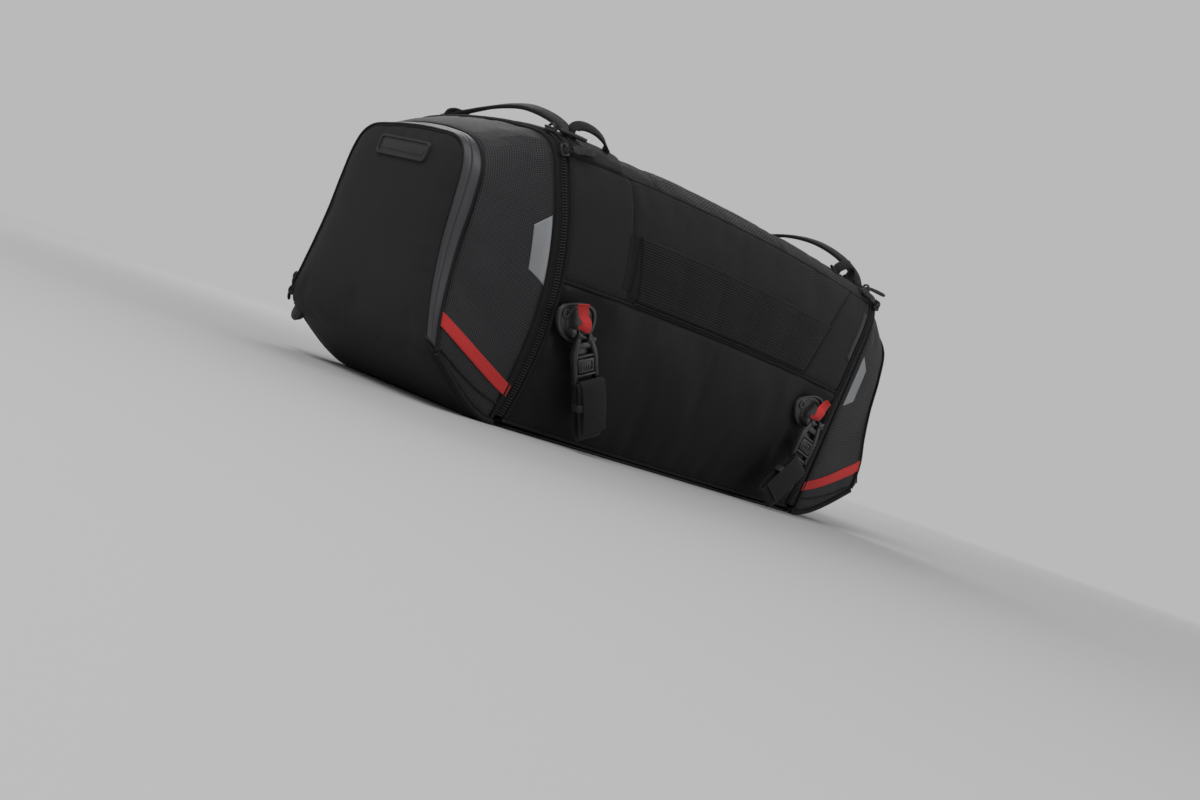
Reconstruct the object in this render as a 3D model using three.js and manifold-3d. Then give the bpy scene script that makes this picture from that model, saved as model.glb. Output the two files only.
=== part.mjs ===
// Motorcycle tail bag: a soft-sided bag that rides across a luggage rack.
//
// Each end is a hatch that opens on a long zip and carries a zipped pocket of its own. Four hooks on
// webbing straps hold the bag down. Millimetres, +Z up. X runs from end to end, -Y is the front, and
// the origin is on the floor under the middle of the bag. "left" is -X and "right" is +X.

import * as THREE from "three";
import { mergeVertices } from "three/addons/utils/BufferGeometryUtils.js";
import Module from "manifold-3d";

const wasm = await Module();
wasm.setup();

// ---------------------------------------------------------------- driving dimensions

// The bag's skin is drawn by four lines. Each runs from the bottom edge of one side (first point) to
// the middle of the top (last point), and all four have the same stations, so that station 3 is the
// seam half way up the side and station 6 is the shoulder seam.
const STATIONS = 9;
const SEAM = 3 / STATIONS;
const SHOULDER = 6 / STATIONS;

// Half way along the bag: y, z.
const MIDDLE_LINE = lineThrough([
  [0, 117, 3.4],
  [0, 128, 45],
  [0, 137, 98],
  [0, 139, 136],
  [0, 137, 180],
  [0, 133, 222],
  [0, 128, 239],
  [0, 112, 250],
  [0, 64, 262],
  [0, 0, 268],
]);

// Along the main zip, where the hatch begins: x, y, z.
const ZIP_LINE = lineThrough([
  [197, 118, 5.2],
  [194, 125, 40],
  [193, 131, 88],
  [197, 132.5, 132],
  [206, 129.5, 176],
  [216, 124, 208],
  [222, 116, 231],
  [225, 103, 243],
  [226, 55, 253],
  [226, 0, 257],
]);

// Where the hatch's shell meets the pocket's zip band.
const RIM_LINE = lineThrough([
  [278.5, 122, 44],
  [283, 117, 72],
  [282, 111, 101],
  [281, 107, 131],
  [280, 105.5, 165],
  [279.5, 101, 196],
  [278, 88, 213],
  [277, 72, 222],
  [276, 40, 229.5],
  [276, 0, 232],
]);

// The edge of the pocket's face.
const FACE_LINE = lineThrough([
  [289, 118, 51],
  [290, 108, 76],
  [290, 100, 104],
  [290, 94.5, 132],
  [290, 91.5, 165],
  [290, 88, 193],
  [290, 81, 208],
  [290, 68, 216.5],
  [290, 36, 219.5],
  [290, 0, 220.5],
]);

const BULGE_POWER = 2.2; // how late the body's belly gives way to the zip's outline
const UNDERSIDE_DROP = 10; // how far the hatch's lower edge hangs under a straight line
const FACE_CROWN = 3.5;

const PANEL = { lower: 6, upper: 4.5, top: 5, shell: 5, band: 4, base: 2.7, board: 3.2 };
const GAP = 0.5; // between neighbouring pieces
const STATION_GAP = 0.0015; // the same gap, as a share of a line's stations
const ZIP_GAP = 0.9; // between the body and a hatch

const SHELL_END_GAP = 0.006;
const HATCH_DEPTH = 70; // along a hatch from the main zip to the pocket's zip band, roughly
const HINGE_X = 197.6;
const BASE_HALF_LENGTH = 196.4;
const BASE_HALF_WIDTH = 116.5;
const BASE_CORNER = 18;
const BOARD_HALF_LENGTH = 190;
const BOARD_HALF_WIDTH = 103;
const BOARD_CORNER = 12;
const POCKET_BACK_X = 240;
const POCKET_BACK_THICKNESS = 2.5;

// The pocket's band and the main zip's tape stop just short of the bottom edge. in and out are the
// band's share of the way from the hatch's rim to the face.
const POCKET_BAND = { reach: 0.985, in: 0.05, out: 0.93, sliders: 0.45 };
const ZIP_TAPE = { reach: 0.985, in: 0.962, out: 0.992, proud: 2.2 };
const FACE = { thickness: 4, inset: 1.1, floor: 49.4, centreZ: 140 };

const ANCHOR = { x: 160, z: 105, thickness: 4, barRadius: 2, barStandoff: 4.7 };
const ANCHOR_PLATE = { width: 44, height: 34, corner: 9, aside: 8, up: 1 };
const ANCHOR_OPENING = { width: 20, height: 10, below: 2 };
const ANCHOR_POST = { width: 3, height: 4.4, inset: 1.6, past: 1, sunk: 0.6 };
const BAR_Z = 94;
const BAR_PAST_EYE = 10;
const HOOK = { width: 26, length: 40, thickness: 6, eyeRadius: 4, eyeBore: 2.4, eyeWidth: 16 };
const HOOK_NECK = { top: 5, halfWidth: 6, shoulder: 16 };
const HOOK_SLOT = { height: 2.6, sideWall: 2.5, up: 4 };
const RELEASE = { width: 15, height: 13, thickness: 5.4, below: 24, proud: 1.6 };
const TAB = { width: 14, height: 22, thickness: 1.8, corner: 2.5, above: 1.2, proud: 1.5 };
const STRAP = { width: 25, depth: 9.6, length: 50, webbing: 1.8, eyeShare: 0.55, proud: 0.6 };

const HANDLE = { x: 208, halfSpan: 96, footZ: 251.5, peakZ: 280, width: 12, thickness: 4 };
const LOOP = { x: 182, y: 100, span: 36, height: 17, width: 11, thickness: 3, station: 7.2, lift: 3 };
const WEBBING_PANEL = { left: -118, right: 132, low: 0.345, high: 0.474, proud: 3.4 };

// ---------------------------------------------------------------- colours

const COLOURS = {
  ballistic: { color: 0x1c1c1f, roughness: 0.85, metalness: 0 },
  laminate: { color: 0x19191b, roughness: 0.6, metalness: 0 },
  dotted: { color: 0x202022, roughness: 0.8, metalness: 0 },
  face: { color: 0x171719, roughness: 0.75, metalness: 0 },
  band: { color: 0x38383b, roughness: 0.55, metalness: 0 },
  webbing: { color: 0x1a1a1c, roughness: 0.9, metalness: 0 },
  lining: { color: 0x2a2a2c, roughness: 0.9, metalness: 0 },
  plastic: { color: 0x1b1b1c, roughness: 0.45, metalness: 0 },
  zip: { color: 0x151516, roughness: 0.5, metalness: 0 },
  metal: { color: 0x242426, roughness: 0.4, metalness: 0.6 },
  red: { color: 0xc8302c, roughness: 0.8, metalness: 0 },
};

const bag = new THREE.Group();

function add(name, geometry, colour) {
  const mesh = new THREE.Mesh(geometry, new THREE.MeshStandardMaterial(COLOURS[colour]));
  mesh.name = name;
  bag.add(mesh);
  return mesh;
}

// ---------------------------------------------------------------- shape tools

function lineThrough(points) {
  const vectors = points.map(([x, y, z]) => new THREE.Vector3(x, y, z));
  return new THREE.CatmullRomCurve3(vectors, false, "centripetal");
}

// Signed volume: positive when the faces point out.
function signedVolume(geometry) {
  const position = geometry.attributes.position;
  const index = geometry.index;
  const a = new THREE.Vector3();
  const b = new THREE.Vector3();
  const c = new THREE.Vector3();
  let volume = 0;
  for (let i = 0; i < index.count; i += 3) {
    a.fromBufferAttribute(position, index.getX(i));
    b.fromBufferAttribute(position, index.getX(i + 1));
    c.fromBufferAttribute(position, index.getX(i + 2));
    volume += a.dot(b.cross(c)) / 6;
  }
  return volume;
}

function facingOut(geometry) {
  if (signedVolume(geometry) < 0) {
    const index = Array.from(geometry.index.array);
    for (let i = 0; i < index.length; i += 3) {
      [index[i + 1], index[i + 2]] = [index[i + 2], index[i + 1]];
    }
    geometry.setIndex(index);
  }
  geometry.computeVertexNormals();
  return geometry;
}

// A closed sheet: outer(u, v) and inner(u, v) are its two faces, for u and v from 0 to 1.
function sheet(outer, inner, columns, rows) {
  const vertices = [];
  for (const side of [outer, inner]) {
    for (let i = 0; i <= columns; i += 1) {
      for (let j = 0; j <= rows; j += 1) {
        vertices.push(...side(i / columns, j / rows).toArray());
      }
    }
  }
  const perSide = (columns + 1) * (rows + 1);
  const at = (side, i, j) => side * perSide + i * (rows + 1) + j;
  const index = [];
  const quad = (a, b, c, d) => index.push(a, b, c, a, c, d);
  for (let i = 0; i < columns; i += 1) {
    for (let j = 0; j < rows; j += 1) {
      quad(at(0, i, j), at(0, i + 1, j), at(0, i + 1, j + 1), at(0, i, j + 1));
      quad(at(1, i, j), at(1, i, j + 1), at(1, i + 1, j + 1), at(1, i + 1, j));
    }
  }
  for (let i = 0; i < columns; i += 1) {
    quad(at(0, i, 0), at(1, i, 0), at(1, i + 1, 0), at(0, i + 1, 0));
    quad(at(0, i, rows), at(0, i + 1, rows), at(1, i + 1, rows), at(1, i, rows));
  }
  for (let j = 0; j < rows; j += 1) {
    quad(at(0, 0, j), at(0, 0, j + 1), at(1, 0, j + 1), at(1, 0, j));
    quad(at(0, columns, j), at(1, columns, j), at(1, columns, j + 1), at(0, columns, j + 1));
  }
  const geometry = new THREE.BufferGeometry();
  geometry.setAttribute("position", new THREE.Float32BufferAttribute(vertices, 3));
  geometry.setIndex(index);
  return facingOut(geometry);
}

function toSolid(geometry) {
  const plain = geometry.clone();
  plain.deleteAttribute("normal");
  plain.deleteAttribute("uv");
  const merged = mergeVertices(plain, 1e-4);
  const mesh = new wasm.Mesh({
    numProp: 3,
    vertProperties: new Float32Array(merged.attributes.position.array),
    triVerts: new Uint32Array(merged.index.array),
  });
  return new wasm.Manifold(mesh);
}

function toGeometry(solid) {
  const mesh = solid.getMesh();
  const geometry = new THREE.BufferGeometry();
  geometry.setAttribute("position", new THREE.Float32BufferAttribute(mesh.vertProperties, 3));
  geometry.setIndex(Array.from(mesh.triVerts));
  return facingOut(geometry);
}

function block(width, depth, height, x, y, z) {
  return new THREE.BoxGeometry(width, depth, height).translate(x, y, z);
}

// A rod along X, centred on (x, y, z).
function rod(radius, length, x, y, z, sides = 12) {
  return new THREE.CylinderGeometry(radius, radius, length, sides).rotateZ(Math.PI / 2).translate(x, y, z);
}

function roundedRectangle(width, height, radius) {
  const shape = new THREE.Shape();
  const w = width / 2;
  const h = height / 2;
  shape.moveTo(-w + radius, -h);
  shape.lineTo(w - radius, -h);
  shape.absarc(w - radius, -h + radius, radius, -Math.PI / 2, 0, false);
  shape.lineTo(w, h - radius);
  shape.absarc(w - radius, h - radius, radius, 0, Math.PI / 2, false);
  shape.lineTo(-w + radius, h);
  shape.absarc(-w + radius, h - radius, radius, Math.PI / 2, Math.PI, false);
  shape.lineTo(-w, -h + radius);
  shape.absarc(-w + radius, -h + radius, radius, Math.PI, Math.PI * 1.5, false);
  return shape;
}

function extruded(shape, depth, curveSegments = 4) {
  return new THREE.ExtrudeGeometry(shape, { depth, bevelEnabled: false, curveSegments });
}

// A shape drawn in X and Z, given a thickness along Y and centred on the plane y = 0.
function upright(shape, thickness, curveSegments = 4) {
  return extruded(shape, thickness, curveSegments).rotateX(Math.PI / 2).translate(0, thickness / 2, 0);
}

// ---------------------------------------------------------------- the bag's skin

// w runs round the bag's section: -1 at the front bottom edge, 0 at the middle of the top, 1 at the
// rear bottom edge. It gives the station on the lines above and the side of the bag.
function station(w) {
  return { v: 1 - Math.abs(w), side: w < 0 ? -1 : 1 };
}

// The way out of the skin, in the plane of the section.
function outward(w) {
  const { v, side } = station(w);
  const step = 0.004;
  const below = MIDDLE_LINE.getPoint(Math.max(0, v - step));
  const above = MIDDLE_LINE.getPoint(Math.min(1, v + step));
  const normal = new THREE.Vector3(0, (above.z - below.z) * side, below.y - above.y);
  if (v > 1 - step) {
    normal.set(0, 0, 1);
  }
  return normal.normalize();
}

// s runs along the body: -1 at the left zip, 1 at the right zip.
function bodyPoint(s, w) {
  const { v, side } = station(w);
  const middle = MIDDLE_LINE.getPoint(v);
  const zip = ZIP_LINE.getPoint(v);
  const t = Math.abs(s) ** BULGE_POWER;
  const y = THREE.MathUtils.lerp(middle.y, zip.y, t);
  const z = THREE.MathUtils.lerp(middle.z, zip.z, t);
  return new THREE.Vector3(s * zip.x, y * side, z);
}

// c runs along a hatch: 0 at the zip, 1 at the pocket's zip band. end is -1 for left, 1 for right.
function hatchPoint(end, c, w) {
  const { v, side } = station(w);
  const point = ZIP_LINE.getPoint(v).lerp(RIM_LINE.getPoint(v), c);
  const drop = UNDERSIDE_DROP * Math.sin(Math.PI * c ** 0.7) * (1 - v) ** 14;
  return new THREE.Vector3(point.x * end, point.y * side, point.z - drop);
}

function bodyPanel(sRange, wRange, top, bottom, columns, rows) {
  const at = (offset) => (u, v) => {
    const s = THREE.MathUtils.lerp(sRange[0], sRange[1], u);
    const w = THREE.MathUtils.lerp(wRange[0], wRange[1], v);
    return bodyPoint(s, w).addScaledVector(outward(w), offset);
  };
  return sheet(at(top), at(bottom), columns, rows);
}

const BODY_END = 1 - ZIP_GAP / 2 / HINGE_X;
const BODY_RANGE = [-BODY_END, BODY_END];
const fromBottom = (v) => 1 - v;

// ---------------------------------------------------------------- body

function addBody() {
  const base = extruded(roundedRectangle(BASE_HALF_LENGTH * 2, BASE_HALF_WIDTH * 2, BASE_CORNER), PANEL.base);
  add("base_panel", base, "laminate");

  const board = extruded(roundedRectangle(BOARD_HALF_LENGTH * 2, BOARD_HALF_WIDTH * 2, BOARD_CORNER), PANEL.board);
  add("base_board", board.translate(0, 0, PANEL.base + GAP), "plastic");

  for (const [place, side] of [["front", -1], ["rear", 1]]) {
    const lower = [side, side * fromBottom(SEAM - STATION_GAP)];
    add(`${place}_lower_panel`, bodyPanel(BODY_RANGE, lower, 0, -PANEL.lower, 10, 6), "laminate");
    const upper = [side * fromBottom(SEAM + STATION_GAP), side * fromBottom(SHOULDER - STATION_GAP)];
    add(`${place}_upper_panel`, bodyPanel(BODY_RANGE, upper, 0, -PANEL.upper, 10, 6), "ballistic");
  }

  const top = [-fromBottom(SHOULDER + STATION_GAP), fromBottom(SHOULDER + STATION_GAP)];
  add("top_panel", bodyPanel(BODY_RANGE, top, 0, -PANEL.top, 10, 16), "ballistic");
}

// The ribbed webbing panel sewn to the upper side panel, for lashing things on.
function addWebbingPanel(place, side) {
  const { left, right, low, high, proud } = WEBBING_PANEL;
  const reach = ZIP_LINE.getPoint(SEAM).x;
  const wRange = [side * fromBottom(low), side * fromBottom(high)];
  add(`${place}_webbing_panel`, bodyPanel([left / reach, right / reach], wRange, proud, GAP, 6, 3), "webbing");
}

// The body's half of a main zip: tape and coil, sewn round the body's edge.
function addZipTape(place, end) {
  const { reach, in: inner, out: outer, proud } = ZIP_TAPE;
  const tape = bodyPanel([end * inner, end * outer], [-reach, reach], proud, GAP, 1, 36);
  add(`${place}_zip_tape`, tape, "zip");
}

// ---------------------------------------------------------------- hatches and pockets

function hatchShell(end) {
  const start = ZIP_GAP / HATCH_DEPTH;
  const at = (offset) => (u, v) => {
    const c = THREE.MathUtils.lerp(start, 1 - SHELL_END_GAP, u);
    const w = THREE.MathUtils.lerp(-1, 1, v);
    return hatchPoint(end, c, w).addScaledVector(outward(w), offset);
  };
  return sheet(at(0), at(-PANEL.shell), 4, 36);
}

// The pocket's zip band turns from the shell's side to the pocket's face.
function pocketBand(end) {
  const { reach, in: inner, out: outer } = POCKET_BAND;
  const at = (depth) => (u, v) => {
    const k = THREE.MathUtils.lerp(inner, outer, u);
    const w = THREE.MathUtils.lerp(-reach, reach, v);
    const place = station(w);
    const point = RIM_LINE.getPoint(place.v).lerp(FACE_LINE.getPoint(place.v), k);
    point.x *= end;
    point.y *= place.side;
    const turn = (k * Math.PI) / 2;
    point.addScaledVector(outward(w), -depth * Math.cos(turn));
    point.x -= end * depth * Math.sin(turn);
    return point;
  };
  return sheet(at(0), at(PANEL.band), 2, 36);
}

// The smooth panel under the pocket, curving from the hinge line on the floor up to the face.
function hatchUnderside(end) {
  const clearance = 4.9;
  const thickness = 3.4;
  const halfWidth = 117;
  const lip = [new THREE.Vector2(278.6, 37.2), new THREE.Vector2(286, 41.6), new THREE.Vector2(289.9, 46.6)];
  const points = [];
  for (const c of [0.02, 0.12, 0.25, 0.4, 0.55, 0.7, 0.85]) {
    const point = hatchPoint(1, c, -1);
    points.push(new THREE.Vector2(point.x, Math.max(0, point.z - clearance)));
  }
  points.push(...lip);
  const profile = new THREE.SplineCurve(points);
  const at = (depth) => (u, v) => {
    const point = profile.getPoint(u);
    const tangent = profile.getTangent(u);
    const x = point.x - tangent.y * depth;
    const z = point.y + tangent.x * depth;
    return new THREE.Vector3(x * end, THREE.MathUtils.lerp(-halfWidth, halfWidth, v), z);
  };
  return sheet(at(0), at(thickness), 12, 2);
}

// The wall between the pocket and the main compartment.
function pocketBack(end) {
  const floor = 33;
  const reach = 0.93;
  const clearance = PANEL.shell + 2.5;
  const outline = [];
  const steps = 40;
  for (let i = 0; i <= steps; i += 1) {
    const w = THREE.MathUtils.lerp(-reach, reach, i / steps);
    const { v } = station(w);
    const zipX = ZIP_LINE.getPoint(v).x;
    const rimX = RIM_LINE.getPoint(v).x;
    const c = (POCKET_BACK_X - zipX) / (rimX - zipX);
    const point = hatchPoint(1, c, w).addScaledVector(outward(w), -clearance);
    outline.push(new THREE.Vector2(point.y, Math.max(point.z, floor)));
  }
  const geometry = extruded(new THREE.Shape(outline), POCKET_BACK_THICKNESS);
  const toSection = new THREE.Matrix4().makeBasis(
    new THREE.Vector3(0, 1, 0),
    new THREE.Vector3(0, 0, 1),
    new THREE.Vector3(1, 0, 0),
  );
  geometry.applyMatrix4(toSection);
  const near = end > 0 ? POCKET_BACK_X : -POCKET_BACK_X - POCKET_BACK_THICKNESS;
  return geometry.translate(near, 0, 0);
}

// The pocket's face, a crowned panel that swings out and down on its lower edge.
function pocketFace(end) {
  const { thickness, inset, floor, centreZ } = FACE;
  const at = (depth) => (u, v) => {
    const w = THREE.MathUtils.lerp(-1, 1, v);
    const place = station(w);
    const edge = FACE_LINE.getPoint(place.v);
    edge.y = (edge.y - inset) * place.side;
    edge.z = Math.max(edge.z - inset, floor);
    const ring = THREE.MathUtils.lerp(1, 0.02, u);
    const y = edge.y * ring;
    const z = centreZ + (edge.z - centreZ) * ring;
    const crown = FACE_CROWN * (1 - ring ** 2);
    return new THREE.Vector3(end * (edge.x + crown - depth), y, Math.max(z, floor));
  };
  return { outer: at(0), inner: at(thickness) };
}

// The face's two sides are fans of rings about its middle, closed along the bottom edge.
function pocketFaceGeometry(end) {
  const { outer, inner } = pocketFace(end);
  const rings = 3;
  const around = 36;
  const vertices = [];
  const sides = [outer, inner];
  for (const side of sides) {
    for (let i = 0; i < rings; i += 1) {
      for (let j = 0; j <= around; j += 1) {
        vertices.push(...side(i / rings, j / around).toArray());
      }
    }
    const middle = side(1, 0.5);
    vertices.push(middle.x, 0, FACE.centreZ);
  }
  const perRing = around + 1;
  const perSide = rings * perRing + 1;
  const at = (side, i, j) => side * perSide + i * perRing + j;
  const index = [];
  for (let j = 0; j < perRing; j += 1) {
    const next = (j + 1) % perRing;
    for (let i = 0; i < rings - 1; i += 1) {
      index.push(at(0, i, j), at(0, i + 1, j), at(0, i + 1, next));
      index.push(at(0, i, j), at(0, i + 1, next), at(0, i, next));
      index.push(at(1, i, j), at(1, i + 1, next), at(1, i + 1, j));
      index.push(at(1, i, j), at(1, i, next), at(1, i + 1, next));
    }
    index.push(at(0, rings - 1, j), at(0, rings, 0), at(0, rings - 1, next));
    index.push(at(1, rings - 1, j), at(1, rings - 1, next), at(1, rings, 0));
    index.push(at(0, 0, j), at(0, 0, next), at(1, 0, next));
    index.push(at(0, 0, j), at(1, 0, next), at(1, 0, j));
  }
  const geometry = new THREE.BufferGeometry();
  geometry.setAttribute("position", new THREE.Float32BufferAttribute(vertices, 3));
  geometry.setIndex(index);
  return facingOut(geometry);
}

function addHatch(place, end) {
  add(`${place}_hatch_shell`, hatchShell(end), "dotted");
  add(`${place}_hatch_underside`, hatchUnderside(end), "face");
  add(`${place}_pocket_back`, pocketBack(end), "lining");
  add(`${place}_pocket_band`, pocketBand(end), "band");
  add(`${place}_pocket_face`, pocketFaceGeometry(end), "face");
}

// ---------------------------------------------------------------- zip sliders and pulls

// A frame on the skin: origin, direction of travel and way out.
function frameOnSkin(point, ahead, out) {
  const forward = ahead.clone().sub(point).normalize();
  const normal = out.clone().addScaledVector(forward, -out.dot(forward)).normalize();
  const across = new THREE.Vector3().crossVectors(forward, normal);
  return new THREE.Matrix4().makeBasis(across, forward, normal).setPosition(point);
}

function zipPoint(end, w) {
  const { v, side } = station(w);
  const point = ZIP_LINE.getPoint(v);
  return new THREE.Vector3(point.x * end, point.y * side, point.z);
}

// A slider with its bridge, and the pull that hangs in the bridge beside it.
function sliderGeometry({ width, length, height, lift }) {
  const body = toSolid(block(width, length, height, 0, 0, lift + height / 2));
  const bridgeZ = lift + height + BRIDGE.height / 2 - BRIDGE.sunk;
  const bridge = toSolid(block(BRIDGE.width, length * BRIDGE.share, BRIDGE.height, 0, 0, bridgeZ));
  return toGeometry(body.add(bridge));
}

function pullGeometry() {
  const { width, length, thickness, corner, start, lift } = MAIN_PULL;
  const shape = roundedRectangle(width, length, corner);
  return extruded(shape, thickness, 3).translate(0, -length / 2 - start, MAIN_SLIDER.lift + lift);
}

// The two sliders of a main zip park head to head at the front shoulder. One opens down the flank and
// the other along the top. lean tips a slider towards the bag's end, and turn is how far round its pull
// lies from straight behind it, at each end of the bag.
const MAIN_SLIDERS = [
  { name: "flank", w: -0.325, ahead: -0.45, lean: 0.14, turn: { left: -Math.PI / 2, right: Math.PI / 2 } },
  { name: "top", w: -0.2, ahead: -0.12, lean: 0, turn: { left: Math.PI * 0.3, right: Math.PI / 2 } },
];
const MAIN_SLIDER = { width: 9, length: 10, height: 3, lift: 4.1 };
const MAIN_PULL = { width: 7, length: 24, thickness: 3.2, corner: 3, start: 7.5, lift: 0.4 };
const BRIDGE = { width: 2.6, height: 3, share: 0.6, sunk: 0.2 };

function mainSliderFrame(end, { w, ahead, lean }) {
  const out = outward(w);
  out.x = end * lean;
  return frameOnSkin(zipPoint(end, w), zipPoint(end, ahead), out);
}

function addMainSliders(place, end) {
  for (const slider of MAIN_SLIDERS) {
    const frame = mainSliderFrame(end, slider);
    const body = sliderGeometry(MAIN_SLIDER);
    add(`${place}_${slider.name}_slider`, body.applyMatrix4(frame), "metal");
    const tail = pullGeometry().rotateZ(slider.turn[place]);
    add(`${place}_${slider.name}_pull`, tail.applyMatrix4(frame), "plastic");
  }
}

function bandPoint(end, w) {
  const { v, side } = station(w);
  const point = RIM_LINE.getPoint(v).lerp(FACE_LINE.getPoint(v), POCKET_BAND.sliders);
  return new THREE.Vector3(point.x * end, point.y * side, point.z);
}

// The two sliders of a pocket's zip park together low on the rear side. They travel towards ahead, and
// they face half outwards and half along the bag, as the band does there.
const POCKET_SLIDERS = [
  { name: "lower", w: 0.95 },
  { name: "upper", w: 0.875 },
];
const POCKET_SLIDER = { width: 7, length: 8, height: 2.6, lift: 2.6 };
const POCKET_SLIDER_WAY = { ahead: 0.78, outward: 0.72, along: 0.69 };

function addPocketSliders(place, end) {
  const { ahead, outward: share, along } = POCKET_SLIDER_WAY;
  for (const { name, w } of POCKET_SLIDERS) {
    const out = outward(w).multiplyScalar(share);
    out.x = end * along;
    const frame = frameOnSkin(bandPoint(end, w), bandPoint(end, ahead), out);
    add(`${place}_pocket_slider_${name}`, sliderGeometry(POCKET_SLIDER).applyMatrix4(frame), "metal");
  }
}

// ---------------------------------------------------------------- handles and loops

// A strap bent into an arch of span by height, drawn in X and Z and given a width along Y.
function arch(span, height, thickness, width, segments) {
  const shape = new THREE.Shape();
  const half = span / 2;
  shape.moveTo(half, 0);
  shape.absellipse(0, 0, half, height, 0, Math.PI, false);
  shape.lineTo(-half + thickness, 0);
  shape.absellipse(0, 0, half - thickness, height - thickness, Math.PI, 0, true);
  shape.closePath();
  return upright(shape, width, segments);
}

function addHandle(place, end) {
  const { x, halfSpan, footZ, peakZ, width, thickness } = HANDLE;
  const geometry = arch(halfSpan * 2, peakZ - footZ, thickness, width, 14).rotateZ(Math.PI / 2);
  add(`${place}_handle`, geometry.translate(end * x, 0, footZ), "webbing");
}

function addLoop(place, side, end) {
  const { x, y, span, height, width, thickness, lift } = LOOP;
  const v = LOOP.station / STATIONS;
  const foot = bodyPoint(x / ZIP_LINE.getPoint(v).x, fromBottom(v)).z + lift;
  add(`${place}_loop`, arch(span, height, thickness, width, 10).translate(end * x, side * y, foot), "webbing");
}

// ---------------------------------------------------------------- hold-down hooks

function sideSurface(x, z, side) {
  let best = null;
  for (let v = 0; v < SEAM; v += 0.002) {
    const point = bodyPoint(x / ZIP_LINE.getPoint(v).x, side * fromBottom(v));
    if (best === null || Math.abs(point.z - z) < Math.abs(best.z - z)) {
      best = point;
    }
  }
  return Math.abs(best.y);
}

// The moulded anchor plate, with a bar stood off its face for the hook's eye.
function anchorGeometry() {
  const { aside, up, corner } = ANCHOR_PLATE;
  const plate = roundedRectangle(ANCHOR_PLATE.width, ANCHOR_PLATE.height, corner);
  let solid = toSolid(upright(plate, ANCHOR.thickness, 3).translate(-aside, 0, up));
  const { width, height, below } = ANCHOR_OPENING;
  const opening = toSolid(block(width, ANCHOR.thickness * 2, height, 0, 0, -below));
  solid = solid.subtract(opening);
  const front = -ANCHOR.thickness / 2;
  const barY = front - ANCHOR.barStandoff;
  const barZ = BAR_Z - ANCHOR.z;
  const barLength = HOOK.eyeWidth + BAR_PAST_EYE;
  solid = solid.add(toSolid(rod(ANCHOR.barRadius, barLength, 0, barY, barZ, 8)));
  for (const end of [-1, 1]) {
    const postX = end * (barLength / 2 - ANCHOR_POST.inset);
    const postDepth = ANCHOR.barStandoff + ANCHOR_POST.past;
    const postY = front - postDepth / 2 + ANCHOR_POST.sunk;
    const post = block(ANCHOR_POST.width, postDepth, ANCHOR_POST.height, postX, postY, barZ);
    solid = solid.add(toSolid(post));
  }
  return toGeometry(solid);
}

// The hook turns on the anchor's bar. Its body leans inboard by lean, in the plane of the plate.
function hookGeometry(lean) {
  const { width, length, thickness, eyeRadius, eyeBore, eyeWidth } = HOOK;
  const shape = new THREE.Shape();
  const half = width / 2;
  const { top, halfWidth, shoulder } = HOOK_NECK;
  shape.moveTo(-halfWidth, -top);
  shape.lineTo(halfWidth, -top);
  shape.lineTo(half, -shoulder);
  shape.lineTo(half, -length);
  shape.lineTo(-half, -length);
  shape.lineTo(-half, -shoulder);
  shape.closePath();
  let body = toSolid(upright(shape, thickness, 4));
  const through = thickness * 2;
  const window = block(RELEASE.width + 2 * GAP, through, RELEASE.height + 2 * GAP, 0, 0, -RELEASE.below);
  const slotWidth = width - 2 * HOOK_SLOT.sideWall;
  const slot = block(slotWidth, through, HOOK_SLOT.height, 0, 0, HOOK_SLOT.up - length);
  body = body.subtract(toSolid(window)).subtract(toSolid(slot));
  const leaning = new THREE.Matrix4().makeRotationY(lean);
  body = toSolid(toGeometry(body).applyMatrix4(leaning));
  const neck = toSolid(block(9, 4.4, 9, 0, 0, -5.2));
  const eye = toSolid(rod(eyeRadius, eyeWidth, 0, 0, 0, 12));
  const bore = toSolid(rod(eyeBore, eyeWidth + 4, 0, 0, 0, 12));
  return toGeometry(body.add(neck).add(eye).subtract(bore));
}

// The webbing is folded over the hook's lower bar and sewn into an eye for the rack at its lower end.
// Its upper end is at z = 0.
function strapGeometry() {
  const { width, depth, length: height, webbing } = STRAP;
  const outline = roundedRectangle(depth, height, depth / 2 - 0.1);
  const eyeDepth = depth - webbing * 2;
  const eyeHeight = height * STRAP.eyeShare;
  const eyeDrop = (height - eyeHeight) / 2 - webbing;
  const eye = roundedRectangle(eyeDepth, eyeHeight, eyeDepth / 2 - 0.1);
  const hole = eye.getPoints(3).map((point) => new THREE.Vector2(point.x, point.y - eyeDrop));
  outline.holes.push(new THREE.Path(hole));
  const turned = new THREE.Matrix4().makeBasis(
    new THREE.Vector3(0, 1, 0),
    new THREE.Vector3(0, 0, 1),
    new THREE.Vector3(1, 0, 0),
  );
  return extruded(outline, width, 3).applyMatrix4(turned).translate(-width / 2, 0, -height / 2);
}

// The plate rests against the side where the panel bulges furthest behind it.
const ANCHOR_REST = { share: 0.9, up: 12 };

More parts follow.
